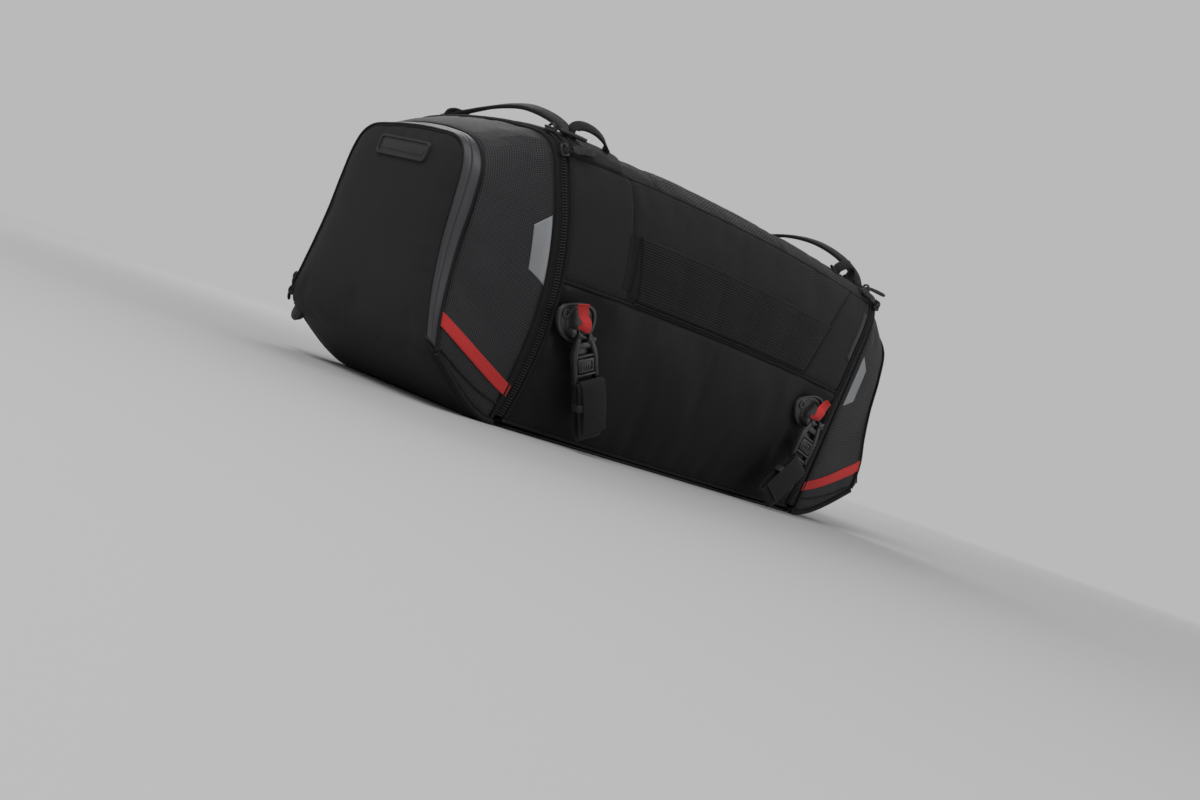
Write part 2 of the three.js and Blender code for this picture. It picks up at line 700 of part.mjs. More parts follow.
function addHook(place, side, end, lean, strapLean) {
  const x = end * ANCHOR.x;
  const proudest = sideSurface(x * ANCHOR_REST.share, ANCHOR.z + ANCHOR_REST.up, side);
  const plateY = proudest + ANCHOR.thickness / 2 + GAP;
  const barY = side * (plateY + ANCHOR.thickness / 2 + ANCHOR.barStandoff);
  const facing = side > 0 ? Math.PI : 0;
  const anchor = anchorGeometry().rotateZ(facing).translate(x, side * plateY, ANCHOR.z);
  add(`${place}_anchor`, anchor, "plastic");

  const inboard = lean * end;
  const hook = hookGeometry(inboard).translate(x, barY, BAR_Z);
  add(`${place}_hook`, hook, "plastic");

  const button = block(RELEASE.width, RELEASE.thickness, RELEASE.height, 0, side * RELEASE.proud, -RELEASE.below);
  add(`${place}_release`, button.rotateY(inboard).translate(x, barY, BAR_Z), "plastic");

  const tab = upright(roundedRectangle(TAB.width, TAB.height, TAB.corner), TAB.thickness, 3);
  const tabZ = BAR_Z + HOOK.eyeRadius + TAB.above + TAB.height / 2;
  add(`${place}_pull_tab`, tab.translate(x, barY + side * TAB.proud, tabZ), "red");

  const room = GAP + (HOOK.width / 2) * Math.abs(Math.sin(strapLean - lean));
  const foot = new THREE.Vector3(0, 0, -HOOK.length - room).applyAxisAngle(new THREE.Vector3(0, 1, 0), inboard);
  const strap = strapGeometry().rotateY(strapLean * end);
  strap.translate(x + foot.x, barY + side * STRAP.proud, BAR_Z + foot.z);
  add(`${place}_strap`, strap, "webbing");
}

// ---------------------------------------------------------------- the whole bag

addBody();
addWebbingPanel("front", -1);
addWebbingPanel("rear", 1);

const ENDS = [["left", -1], ["right", 1]];
for (const [place, end] of ENDS) {
  addZipTape(place, end);
  addHatch(place, end);
  addMainSliders(place, end);
  addPocketSliders(place, end);
  addHandle(place, end);
}

// How far each hook, and the strap below it, leans inboard.
const LEAN = { front_left: 0.47, front_right: 0.2, rear_left: 0.3, rear_right: 0.3 };
const STRAP_LEAN = { front_left: 0.47, front_right: 0.6, rear_left: 0.3, rear_right: 0.3 };
for (const [endName, end] of ENDS) {
  for (const [sideName, side] of [["front", -1], ["rear", 1]]) {
    const place = `${sideName}_${endName}`;
    addLoop(place, side, end);
    addHook(place, side, end, LEAN[place], STRAP_LEAN[place]);
  }
}

export default bag;
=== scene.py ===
"""The looks of a motorcycle tail bag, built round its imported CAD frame.

Surfaces are worked out in millimetres and become metres in Build.done. X runs from end to end, -Y is the
front and +Z is up. The four lines below draw the bag's skin: each runs from the bottom edge of a side to the
middle of the top, with station 3 on the side seam and station 6 on the shoulder. They follow the CAD part's
skin, with the top a few millimetres lower and the pocket's rim and face slightly wider.
"""

import math

import bpy
import numpy as np
from mathutils import Matrix, Vector
from mathutils.bvhtree import BVHTree


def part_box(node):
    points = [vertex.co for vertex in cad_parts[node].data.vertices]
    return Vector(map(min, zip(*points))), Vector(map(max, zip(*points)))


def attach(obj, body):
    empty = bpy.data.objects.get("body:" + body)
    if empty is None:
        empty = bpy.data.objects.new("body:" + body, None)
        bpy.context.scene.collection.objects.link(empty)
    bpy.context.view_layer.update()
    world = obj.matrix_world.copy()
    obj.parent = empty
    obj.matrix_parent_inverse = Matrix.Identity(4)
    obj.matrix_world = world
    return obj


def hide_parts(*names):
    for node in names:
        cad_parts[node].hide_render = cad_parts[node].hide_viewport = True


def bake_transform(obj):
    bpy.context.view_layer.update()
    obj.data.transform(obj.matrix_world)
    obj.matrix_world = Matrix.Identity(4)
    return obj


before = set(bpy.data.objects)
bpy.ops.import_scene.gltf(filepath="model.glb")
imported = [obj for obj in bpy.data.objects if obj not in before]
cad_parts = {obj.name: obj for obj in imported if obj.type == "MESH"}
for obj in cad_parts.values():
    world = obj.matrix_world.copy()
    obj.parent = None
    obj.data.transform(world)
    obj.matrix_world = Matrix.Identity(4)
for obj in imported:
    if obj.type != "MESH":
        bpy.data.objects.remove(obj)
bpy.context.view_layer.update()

MM = 0.001
STATIONS = 9
SEAM = 3 / STATIONS
SHOULDER = 6 / STATIONS
BULGE_POWER = 2.2  # the higher, the further out the body keeps its middle's section
UNDERSIDE_DROP = 10  # how far a hatch's lower edge sags
FACE_CROWN = 3.5  # how far a pocket's face swells
CENTRE = np.array([0, 0, 130.0])  # a point inside the bag
ENDS = {"left": -1, "right": 1}
SIDES = {"front": -1, "rear": 1}


# ---------------------------------------------------------------- the skin's lines and surfaces


class Line:
    """A centripetal Catmull-Rom curve, read from 0 to 1 with its points evenly spaced."""

    def __init__(self, points, mirrored=False):
        p = np.array(points, float)
        after = p[-2] * (1, -1, 1) if mirrored else 2 * p[-1] - p[-2]
        p = np.vstack([2 * p[0] - p[1], p, after])
        span = np.sqrt(np.linalg.norm(np.diff(p, axis=0), axis=1))[:, None]
        a, b, c, d = p[:-3], p[1:-2], p[2:-1], p[3:]
        s, t, u = span[:-2], span[1:-1], span[2:]
        start = ((b - a) / s - (c - a) / (s + t) + (c - b) / t) * t
        end = ((c - b) / t - (d - b) / (t + u) + (d - c) / u) * t
        self.parts = np.stack([b, start, 3 * (c - b) - 2 * start - end, 2 * (b - c) + start + end], 1)

    def __call__(self, v):
        at = np.clip(v, 0, 1) * len(self.parts)
        i = np.minimum(np.asarray(at, int), len(self.parts) - 1)
        t = np.asarray(at - i)[..., None]
        part = self.parts[i]
        return part[..., 0, :] + t * (part[..., 1, :] + t * (part[..., 2, :] + t * part[..., 3, :]))


MIDDLE_LINE = Line([
    (0, 117, 3.4), (0, 128, 45), (0, 137, 98), (0, 139, 136), (0, 137, 180),
    (0, 133, 222), (0, 128, 239), (0, 112, 249.5), (0, 64, 258.5), (0, 0, 263),
], mirrored=True)
ZIP_LINE = Line([
    (197, 118, 5.2), (194, 125, 40), (193, 131, 88), (197, 132.5, 132), (206, 129.5, 176),
    (216, 124, 208), (222, 116, 231), (225, 103, 242.5), (226, 55, 249.5), (226, 0, 251.5),
], mirrored=True)
RIM_LINE = Line([
    (279.5, 122, 44), (284, 118.5, 72), (283.5, 112.5, 101), (283, 108.5, 131), (282, 107, 165),
    (281, 102, 194), (280, 89, 209.5), (279, 73, 217.5), (278, 40, 223.5), (278, 0, 225.5),
], mirrored=True)
FACE_LINE = Line([
    (290, 118, 51), (291.5, 108.5, 76), (292, 100.5, 104), (292, 95, 132), (292, 92, 165),
    (292, 88, 192), (292, 81, 206), (292, 68, 214), (292, 36, 217.5), (292, 0, 218.5),
], mirrored=True)


def lerp(a, b, t):
    return a + (b - a) * t


def smooth(t):
    t = np.clip(t, 0, 1)
    return t * t * (3 - 2 * t)


def section(w):
    """w runs from -1 at the front bottom edge over the top to 1: the lines' v, and the side."""
    w = np.asarray(w, float)
    return 1 - np.abs(w), np.where(w < 0, -1.0, 1.0)


def outward(w):
    v, side = section(w)
    step = MIDDLE_LINE(np.minimum(v + 0.004, 1)) - MIDDLE_LINE(np.maximum(v - 0.004, 0))
    out = np.stack([0 * v, step[..., 2] * side, -step[..., 1]], -1)
    return out / np.linalg.norm(out, axis=-1, keepdims=True)


def body_at(s, w):
    """A point on the body: s is -1 at the left zip and 1 at the right zip."""
    v, side = section(w)
    middle, edge = MIDDLE_LINE(v), ZIP_LINE(v)
    t = np.abs(s) ** BULGE_POWER
    y = lerp(middle[..., 1], edge[..., 1], t) * side
    z = lerp(middle[..., 2], edge[..., 2], t)
    return np.stack([s * edge[..., 0], y, z], -1)


def hatch_at(end, c, w):
    """A point on a hatch: c is 0 at the main zip and 1 at the pocket's zip band."""
    v, side = section(w)
    c = np.asarray(c, float)
    point = lerp(ZIP_LINE(v), RIM_LINE(v), c[..., None])
    drop = UNDERSIDE_DROP * np.sin(np.pi * np.maximum(c, 0) ** 0.7) * (1 - v) ** 14
    return np.stack([point[..., 0] * end, point[..., 1] * side, point[..., 2] - drop], -1)


def band_at(end, k, w):
    """A point on a pocket's zip band: k is 0 at the hatch's rim and 1 at the face."""
    v, side = section(w)
    point = lerp(RIM_LINE(v), FACE_LINE(v), np.asarray(k, float)[..., None])
    return np.stack([point[..., 0] * end, point[..., 1] * side, point[..., 2]], -1)


# ---------------------------------------------------------------- grids

# Where a cloth's first rows lie, in millimetres from its edge. A short cloth has them closer together.
EDGE_STEPS = np.array([0, 0.5, 1.2, 2.2, 3.6, 5.4, 7.6])
SHORT_CLOTH = 18


def stops(length, step):
    """Places from 0 to 1 along length, closer together near the ends that roll under."""
    edge = EDGE_STEPS * min(1, length / SHORT_CLOTH)
    first, last = edge[-1], length - edge[-1]
    count = max(2, round((last - first) / step))
    return np.concatenate([edge, np.linspace(first, last, count + 1)[1:-1], length - edge[::-1]]) / length


def along(points):
    """Distance along a row of points, from its start."""
    return np.concatenate([[0], np.cumsum(np.linalg.norm(np.diff(points, axis=0), axis=1))])


def between(rows, known, at):
    """Rows of numbers that are known at rising places, read in between at other places."""
    return np.stack([np.interp(at, known, column) for column in np.asarray(rows).T], -1)


def dense(path, step):
    """The same path with points about step apart."""
    path = np.asarray(path, float)
    distance = along(path)
    return between(path, distance, np.linspace(0, distance[-1], max(2, int(distance[-1] / step))))


def corners(grid):
    """The four corners of each of a grid's cells."""
    return [grid[:-1, :-1], grid[1:, :-1], grid[1:, 1:], grid[:-1, 1:]]


def to_edge(a, b, size):
    """How far in from the nearest edge of a cloth of that size the places a and b are."""
    return np.minimum(np.minimum(a, 1 - a) * size[0], np.minimum(b, 1 - b) * size[1])


def unit(vector):
    vector = np.asarray(vector, float)
    return vector / np.maximum(np.linalg.norm(vector, axis=-1, keepdims=True), 1e-9)


def square_to(way, near):
    """near, made square to the direction way."""
    return unit(near - way * np.sum(near * way, -1, keepdims=True))


def grid_normals(p, centre=CENTRE):
    out = unit(np.cross(np.gradient(p, axis=0), np.gradient(p, axis=1)))
    return out if np.mean(np.sum(out * (p - centre), -1)) > 0 else -out


class GridLines:
    """Catmull-Rom curves down the first axis of a grid, all at once."""

    def __init__(self, grid):
        self.p = np.concatenate([[2 * grid[0] - grid[1]], grid, [2 * grid[-1] - grid[-2]]])

    def __call__(self, v):
        at = np.clip(v, 0, 1) * (len(self.p) - 3)
        i = np.minimum(at.astype(int), len(self.p) - 4)
        t = (at - i)[:, None, None]
        a, b, c, d = (self.p[i + k] for k in range(4))
        return b + 0.5 * t * (c - a + t * (2 * a - 5 * b + 4 * c - d + t * (3 * (b - c) + d - a)))


def resample(grid, a, b):
    """An evenly spaced grid read smoothly at the rows a and columns b, both from 0 to 1."""
    rows = GridLines(grid)(a)
    return GridLines(rows.transpose(1, 0, 2))(b).transpose(1, 0, 2)


def rolled(distance, depth, radius):
    """How far a cloth's edge has turned under at that distance from its seam."""
    t = np.clip(1 - distance / radius, 0, 1)
    return depth * (1 - np.sqrt(1 - t * t))


WAVES = 6


def ripples(p, size, seed):
    """Slow waves in the cloth, from -1 to 1, about size millimetres from crest to crest."""
    rng = np.random.default_rng(seed)
    total = 0
    for _ in range(WAVES):
        way = rng.normal(size=3)
        way *= 2 * np.pi / size / np.linalg.norm(way) * rng.uniform(0.7, 1.4)
        total = total + np.sin(p @ way + rng.uniform(0, 2 * np.pi))
    return total / WAVES


CLOTH_FRAMES = 20


def relax(name, p, normals, pressure, slack, cap, pinned=None):
    """Blender's cloth lets a sheet swell and crease between its sewn edges; cap limits how far, in mm."""
    rows, columns = p.shape[:2]
    index = np.arange(rows * columns).reshape(rows, columns)
    faces = np.stack(corners(index), -1).reshape(-1, 4)
    a, b, c = (p.reshape(-1, 3)[faces[:, i]] for i in range(3))
    if np.sum(np.cross(b - a, c - a) * normals.reshape(-1, 3)[faces[:, 0]]) < 0:
        faces = faces[:, ::-1]
    mesh = bpy.data.meshes.new(name)
    mesh.from_pydata((p.reshape(-1, 3) * MM).tolist(), [], faces.tolist())
    obj = bpy.data.objects.new(name, mesh)
    bpy.context.scene.collection.objects.link(obj)
    hold = np.zeros((rows, columns), bool)
    hold[[0, -1], :] = True
    hold[:, [0, -1]] = True
    if pinned is not None:
        hold |= pinned
    group = obj.vertex_groups.new(name="sewn")
    group.add(index[hold].tolist(), 1.0, "REPLACE")
    cloth = obj.modifiers.new("Cloth", "CLOTH")
    cloth.point_cache.frame_start, cloth.point_cache.frame_end = 1, CLOTH_FRAMES
    settings = cloth.settings
    settings.quality = 5
    settings.mass = 0.4
    settings.tension_stiffness = settings.compression_stiffness = 25
    settings.shear_stiffness = 8
    settings.bending_stiffness = 1.5
    settings.vertex_group_mass = "sewn"
    settings.use_pressure = True
    settings.uniform_pressure_force = pressure
    settings.shrink_min = settings.shrink_max = -slack
    settings.effector_weights.gravity = 0
    cloth.collision_settings.use_collision = False
    for at in range(1, CLOTH_FRAMES + 1):
        bpy.context.scene.frame_set(at)
    swollen = obj.evaluated_get(bpy.context.evaluated_depsgraph_get())
    moved_to = np.zeros(rows * columns * 3, np.float32)
    swollen.data.vertices.foreach_get("co", moved_to)
    bpy.context.scene.frame_set(1)
    bpy.data.objects.remove(obj)
    bpy.data.meshes.remove(mesh)
    shift = moved_to.reshape(rows, columns, 3).astype(float) / MM - p
    size = np.linalg.norm(shift, axis=-1, keepdims=True)
    shift *= cap * np.tanh(size / cap) / np.maximum(size, 1e-9)
    shift[hold] = 0
    return p + shift


class Skin:
    """The outer face of the cloth made so far, for what is sewn onto it."""

    REACH = 14
    BARE = 0.4  # the height given where no cloth lies below

    def __init__(self):
        self.points, self.faces, self.tree = [], [], None

    def add(self, grid):
        rows, columns = grid.shape[:2]
        index = len(self.points) + np.arange(rows * columns).reshape(rows, columns)
        self.points.extend(grid.reshape(-1, 3).tolist())
        self.faces.extend(np.stack(corners(index), -1).reshape(-1, 4).tolist())
        self.tree = None

    def height(self, p, out):
        """How far the cloth stands above the points p, along out."""
        if self.tree is None:
            self.tree = BVHTree.FromPolygons(self.points, self.faces)
        out = np.broadcast_to(unit(out), p.shape)
        found = []
        for point, way in zip((p + out * self.REACH).reshape(-1, 3), out.reshape(-1, 3)):
            distance = self.tree.ray_cast(Vector(point), Vector(-way), 2 * self.REACH)[3]
            found.append(self.BARE if distance is None else self.REACH - distance)
        return np.array(found).reshape(p.shape[:-1])

    def on(self, p, out, lift=0.0):
        """The points p, moved along out to lie lift above the cloth, across its seams without dipping."""
        height = self.height(p, out)
        bridged = height
        for axis in range(height.ndim):
            count = height.shape[axis]
            padded = np.concatenate([bridged.take([0], axis), bridged, bridged.take([-1], axis)], axis)
            bridged = (padded.take(range(count), axis) + bridged + padded.take(range(2, count + 2), axis)) / 3
        height = np.maximum(height, bridged)
        return p + unit(out) * (height + lift)[..., None]


SKIN = Skin()


def on_body(s, w, lift=0.0):
    """Places that lie lift above the body's cloth, and the way out of it there."""
    out = outward(w)
    return SKIN.on(body_at(s, w), out, lift), out


def on_hatch(end, c, w, lift=0.0):
    """Places that lie lift above a hatch's cloth, and the way out of it there."""
    out = outward(w)
    return SKIN.on(hatch_at(end, c, w), out, lift), out


# ---------------------------------------------------------------- building meshes

WEBBING_EDGE = 0.25  # how square webbing's edges are: 0 is sharp and 0.5 is square


class Build:
    """Gathers grids, tubes and blocks into one mesh, with cloth coordinates in millimetres."""

    def __init__(self):
        self.points, self.count, self.faces, self.uvs, self.slots = [], 0, [], [], []

    def vertices(self, points):
        points = np.asarray(points, float).reshape(-1, 3)
        start = self.count
        self.points.append(points)
        self.count += len(points)
        return start

    def wrap(self, index, uv, slot, flip=False):
        """Quads over a grid of vertex numbers, and the cloth coordinates that go with them."""
        order = (0, 3, 2, 1) if flip else (0, 1, 2, 3)
        quads, places = (np.stack([corners(grid)[i] for i in order], 2) for grid in (index, uv))
        quads = quads.reshape(-1, 4)
        self.faces.extend(quads.tolist())
        self.uvs.extend(places.reshape(-1, 2).tolist())
        self.slots.extend([slot] * len(quads))

    def cap(self, ring, uvs, slot):
        """One face across a ring of vertex numbers."""
        self.faces.append(ring.tolist())
        self.uvs.extend(uvs)
        self.slots.append(slot)

    def sheet(self, p, uv, thickness, slot=0, back=None, normals=None):
        """A closed sheet: p is its outer face and thickness goes inwards."""
        normals = grid_normals(p) if normals is None else normals
        shape = p.shape[:2]
        size = shape[0] * shape[1]
        start = self.vertices(p)
        self.vertices(p - normals * thickness)
        outer = start + np.arange(size).reshape(shape)
        inner = outer + size
        across = np.cross(p[1, 0] - p[0, 0], p[0, 1] - p[0, 0])
        flip = np.sum(across * normals[0, 0]) < 0
        self.wrap(outer, uv, slot, flip)
        self.wrap(inner, uv, slot if back is None else back, not flip)
        every = slice(None)
        rims = ((0, every), flip), ((-1, every), not flip), ((every, 0), not flip), ((every, -1), flip)
        for rim, turned in rims:
            self.wrap(np.stack([inner[rim], outer[rim]]), np.stack([uv[rim], uv[rim]]), slot, turned)

    def tube(self, path, radius, near=(0, 0, 1), sides=8, slot=0, flat=1.0):
        """A round or flattened cord along path, its flat side towards near."""
        path = np.asarray(path, float)
        way = unit(np.gradient(path, axis=0))
        up = square_to(way, np.broadcast_to(np.asarray(near, float), path.shape))
        side = np.cross(way, up)
        angle = np.linspace(0, 2 * np.pi, sides, endpoint=False)
        ring = np.cos(angle)[:, None] * side[:, None] + flat * np.sin(angle)[:, None] * up[:, None]
        start = self.vertices(path[:, None] + ring * radius)
        index = start + np.arange(len(path) * sides).reshape(len(path), sides)
        distance = along(path)
        girth = np.linspace(0, 2 * np.pi * radius, sides + 1)
        uv = np.stack(np.meshgrid(distance, girth, indexing="ij"), -1)
        self.wrap(np.concatenate([index, index[:, :1]], 1), uv, slot, True)
        for end, order in ((0, 1), (-1, -1)):
            self.cap(index[end, ::order], [[distance[end], 0]] * sides, slot)

    def strap(self, path, across, width, thickness, slot=0):
        """Flat webbing along path, centred on it: across points over its width."""
        path = np.asarray(path, float)
        way = unit(np.gradient(path, axis=0))
        across = square_to(way, np.broadcast_to(np.asarray(across, float), path.shape))
        out = np.cross(way, across)
        width = np.broadcast_to(np.asarray(width, float), len(path))[:, None]
        upper = [(-0.5, WEBBING_EDGE), (-0.47, 0.5), (0, 0.5), (0.47, 0.5), (0.5, WEBBING_EDGE)]
        profile = [(-0.5, -WEBBING_EDGE), *upper, *((a, -b) for a, b in upper[:0:-1])]
        rings = [path + across * width * a + out * thickness * b for a, b in profile]
        start = self.vertices(np.stack(rings, 1))
        sides = len(profile)
        index = start + np.arange(len(path) * sides).reshape(len(path), sides)
        places = np.array([a for a, _ in profile] + [-0.5]) * float(np.max(width))
        distance = along(path)
        uv = np.stack(np.meshgrid(distance, places, indexing="ij"), -1)
        self.wrap(np.concatenate([index, index[:, :1]], 1), uv, slot)
        for end, order in ((0, -1), (-1, 1)):
            self.cap(index[end, ::order], [[distance[end], 0]] * sides, slot)

    def stitches(self, path, out, pitch=3.2, length=2.4, radius=0.33, slot=0, lift=0.1):
        """A row of stitches lying along path, each a slim spindle of six points."""
        path = np.asarray(path, float)
        distance = along(path)
        count = int(distance[-1] / pitch)
        if count < 1:
            return
        middle = (np.arange(count) + 0.5) * distance[-1] / count
        at = between(path, distance, middle)
        way = unit(between(path, distance, middle + 1) - between(path, distance, middle - 1))
        out = np.broadcast_to(np.asarray(out, float), path.shape)
        up = square_to(way, between(out, distance, middle))
        side = np.cross(way, up)
        at = at + up * lift
        ends = [at - way * length / 2 - up * radius, at + way * length / 2 - up * radius]
        ring = [at + side * radius, at + up * radius, at - side * radius, at - up * radius]
        start = self.vertices(np.stack(ends + ring, 1))
        for base in range(start, start + 6 * count, 6):
            for a, b in ((2, 3), (3, 4), (4, 5), (5, 2)):
                self.faces += [[base, base + b, base + a], [base + 1, base + a, base + b]]
                self.slots += [slot, slot]
        self.uvs.extend([[0.0, 0.0]] * (count * 24))

    def prism(self, outline, place, low, high, bevel=0.6, slot=0, inner=None):
        """An outline in a plane raised from low to high, its edges rounded. inner cuts it into a ring."""
        rings = bevelled(anticlockwise(outline), low, high, bevel, 1)
        if inner is not None:
            rings = rings + bevelled(anticlockwise(inner), low, high, bevel, -1)[::-1]
            rings.append(rings[0])
        rings = np.array(rings)
        start = self.vertices(moved(rings, place))
        layers, sides = rings.shape[:2]
        index = start + np.arange(layers * sides).reshape(layers, sides)
        uv = np.concatenate([rings, rings[:, :1]], 1)[..., :2]
        self.wrap(np.concatenate([index, index[:, :1]], 1), uv, slot, True)
        if inner is None:
            for layer, order in ((0, -1), (-1, 1)):
                self.cap(index[layer, ::order], rings[layer, ::order, :2].tolist(), slot)

    def blocks(self, boxes, place, slot=0):
        """Blocks, each given as half its width, its top and bottom, its two heights and its bevel."""
        for half, top, bottom, low, high, bevel in boxes:
            outline = [(-half, top), (half, top), (half, bottom), (-half, bottom)]
            self.prism(outline, place, low, high, bevel, slot)

    def done(self, name, materials, body=None, slot=None, replaces=()):
        """The gathered mesh as a piece that rides on a body."""
        mesh = bpy.data.meshes.new(name)
        mesh.from_pydata((np.concatenate(self.points) * MM).tolist(), [], self.faces)
        layer = mesh.uv_layers.new(name="fabric")
        layer.data.foreach_set("uv", np.array(self.uvs, np.float32).ravel())
        mesh.polygons.foreach_set("material_index", self.slots)
        mesh.polygons.foreach_set("use_smooth", [True] * len(self.faces))
        for look in materials:
            mesh.materials.append(look)
        mesh.validate()
        obj = bpy.data.objects.new(name, mesh)
        bpy.context.scene.collection.objects.link(obj)
        if body:
            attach(obj, body)
        if replaces:
            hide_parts(*replaces)
        return obj


def anticlockwise(outline):
    outline = np.asarray(outline, float)
    return outline[::-1] if np.sum(np.cross(outline, np.roll(outline, -1, 0))) < 0 else outline


def bevelled(outline, low, high, bevel, way):
    """The rings of a bevelled wall round an outline; way is 1 for an outer wall and -1 for a hole's."""
    def beside(step):
        return unit(np.stack([step[:, 1], -step[:, 0]], -1))

    out = unit(beside(np.roll(outline, -1, 0) - outline) + beside(outline - np.roll(outline, 1, 0)))
    chamfer = bevel * 0.3
    wall = [(bevel, low), (chamfer, low + chamfer), (0, low + bevel),
            (0, high - bevel), (chamfer, high - chamfer), (bevel, high)]
    return [with_height(outline - out * inset * way, height) for inset, height in wall]


def with_height(outline, height):
    """A flat outline as points in space."""
    return np.concatenate([outline, np.full((len(outline), 1), height)], 1)


def closed_loop(outline, height):
    """The path round a flat outline, back to its start."""
    return with_height(np.concatenate([outline, outline[:1]]), height)


def rounded(width, height, radius, steps=5, centre=(0, 0)):
    """A rounded rectangle's outline."""
    turn = np.linspace(0, np.pi / 2, steps)
    found = []
    for i, (x, y) in enumerate(((1, 1), (-1, 1), (-1, -1), (1, -1))):
        angle = turn + i * np.pi / 2
        corner = np.array([x * (width / 2 - radius), y * (height / 2 - radius)]) + centre
        found.append(corner + radius * np.stack([np.cos(angle), np.sin(angle)], -1))
    return np.concatenate(found)


def circle(radius, sides):
    angle = np.linspace(0, 2 * np.pi, sides, endpoint=False)
    return radius * np.stack([np.cos(angle), np.sin(angle)], -1)


def placed(origin, x, y, z=None):
    """A 4x4 matrix from an origin and axes, in millimetres."""
    made = np.eye(4)
    made[:3, 0], made[:3, 1] = unit(x), unit(y)
    made[:3, 2] = np.cross(made[:3, 0], made[:3, 1]) if z is None else unit(z)
    made[:3, 3] = origin
    return made


def moved(points, place):
    """Points given in a place's own axes, as they lie on the bag."""
    return np.asarray(points) @ place[:3, :3].T + place[:3, 3]


# ---------------------------------------------------------------- materials


class Look:
    """A Principled material whose sockets are fed by short chains of nodes."""

    def __init__(self, name, color, roughness, **constants):
        self.material = bpy.data.materials.new(name)
        self.material.use_nodes = True
        self.nodes = self.material.node_tree.nodes
        self.links = self.material.node_tree.links
        self.shader = next(n for n in self.nodes if n.type == "BSDF_PRINCIPLED")
        self.shader.inputs["Base Color"].default_value = (*color, 1)
        self.shader.inputs["Roughness"].default_value = roughness
        for socket, value in constants.items():
            self.shader.inputs[socket.replace("_", " ")].default_value = value

    def node(self, kind, *inputs, **settings):
        made = self.nodes.new("ShaderNode" + kind)
        for key, value in settings.items():
            setattr(made, key, value)
        for socket, value in zip(made.inputs, inputs):
            self.feed(socket, value)
        return made

    def feed(self, socket, value):
        if isinstance(value, bpy.types.NodeSocket):
            self.links.new(value, socket)
        elif value is not None:
            socket.default_value = value

    def math(self, operation, *inputs):
        return self.node("Math", *inputs, operation=operation).outputs[0]

    def fabric(self):
        """The cloth's own coordinates, in millimetres."""
        where = self.node("UVMap", uv_map="fabric").outputs[0]
        split = self.node("SeparateXYZ", where)
        return split.outputs[0], split.outputs[1]

    def place(self):
        return self.node("TexCoord").outputs["Object"]

    def noise(self, scale, detail=3.0, where=None):
        made = self.node("TexNoise")
        self.feed(made.inputs["Vector"], self.place() if where is None else where)
        made.inputs["Scale"].default_value = scale
        made.inputs["Detail"].default_value = detail
        return made.outputs[0]

    def spread(self, factor, low, high, at=(0.0, 1.0)):
        return self.node("MapRange", factor, at[0], at[1], low, high).outputs[0]

    def blend(self, factor, a, b):
        made = self.node("Mix", data_type="RGBA")
        self.feed(made.inputs[0], factor)
        self.feed(made.inputs[6], a if isinstance(a, bpy.types.NodeSocket) else (*a, 1))
        self.feed(made.inputs[7], b if isinstance(b, bpy.types.NodeSocket) else (*b, 1))
        return made.outputs[2]

    def plus(self, a, b, share):
        """a, and a share of b."""
        return self.math("ADD", a, self.math("MULTIPLY", b, share))

    def bump(self, height, distance, under=None):
        """height from 0 to 1 becomes distance millimetres of relief."""
        made = self.node("Bump")
        made.inputs["Strength"].default_value = 1.0
        made.inputs["Distance"].default_value = distance * MM
        self.feed(made.inputs["Height"], height)
        if under is not None:
            self.feed(made.inputs["Normal"], under)
        self.links.new(made.outputs[0], self.shader.inputs["Normal"])
        return made.outputs[0]

    def paint(self, color=None, roughness=None):
        if color is not None:
            self.feed(self.shader.inputs["Base Color"], color)
        if roughness is not None:
            self.feed(self.shader.inputs["Roughness"], roughness)
        return self.material


def scaled(color, by):
    return tuple(c * by for c in color)


def ridges(look, place, pitch):
    """Rounded threads side by side, from 0 to 1."""
    return look.math("ABSOLUTE", look.math("SINE", look.math("MULTIPLY", place, math.pi / pitch)))


def woven(name, color, pitch, over, roughness=0.82, relief=0.25):
    """A weave of threads pitch apart that pass over that many others, with a little dust in it. The threads'
    crests are painted lighter and the gaps between them darker: painted highlight and painted shade.
    """
    look = Look(name, color, roughness, Sheen_Weight=0.05, Sheen_Roughness=0.45, Specular_IOR_Level=0.2)
    u, v = look.fabric()
    warp, weft = ridges(look, u, pitch), ridges(look, v, pitch)
    steps = [look.math("FLOOR", look.math("DIVIDE", way, pitch)) for way in (u, v)]
    diagonal = look.math("ADD", *steps)
    on_top = look.math("LESS_THAN", look.math("FRACT", look.math("DIVIDE", diagonal, 2.0 * over)), 0.5)
    height = look.math("ADD", look.math("MULTIPLY", warp, on_top),
                       look.math("MULTIPLY", weft, look.math("SUBTRACT", 1.0, on_top)))
    worn = look.noise(9.0, 4.0)
    look.bump(look.plus(height, look.noise(900.0, 2.0), 0.35), relief)
    # Painted highlight and painted shade: the threads' crests are painted lighter and the gaps between them
    # darker.
    shade = look.blend(height, scaled(color, 0.62), scaled(color, 1.25))
    shade = look.blend(look.spread(worn, 0.0, 0.35, (0.42, 0.75)), shade, scaled(color, 1.7))
    return look.paint(shade, look.spread(worn, roughness - 0.1, min(1.0, roughness + 0.08), (0.3, 0.7)))


def coated(name, color, roughness, grain=0.12, grain_size=1400.0, sheen=0.03, cloudy=0.2, specular=0.22):
    """A smooth coated or pressed cloth: fine grain, and a slow change of gloss and colour."""
    look = Look(name, color, roughness, Sheen_Weight=sheen, Sheen_Roughness=0.5, Specular_IOR_Level=specular)
    fine, slow, creases = look.noise(grain_size, 2.0), look.noise(14.0, 3.0), look.noise(60.0, 3.0)
    look.bump(look.plus(fine, creases, 1.2), grain)
    dark, pale = scaled(color, 1 - cloudy), scaled(color, 1 + cloudy)
    shade = look.blend(look.spread(slow, 0.0, 1.0, (0.35, 0.7)), dark, pale)
    shade = look.blend(look.spread(fine, 0.0, 0.35, (0.5, 0.8)), shade, scaled(color, 1.6))
    return look.paint(shade, look.spread(slow, roughness - 0.07, roughness + 0.07, (0.3, 0.7)))


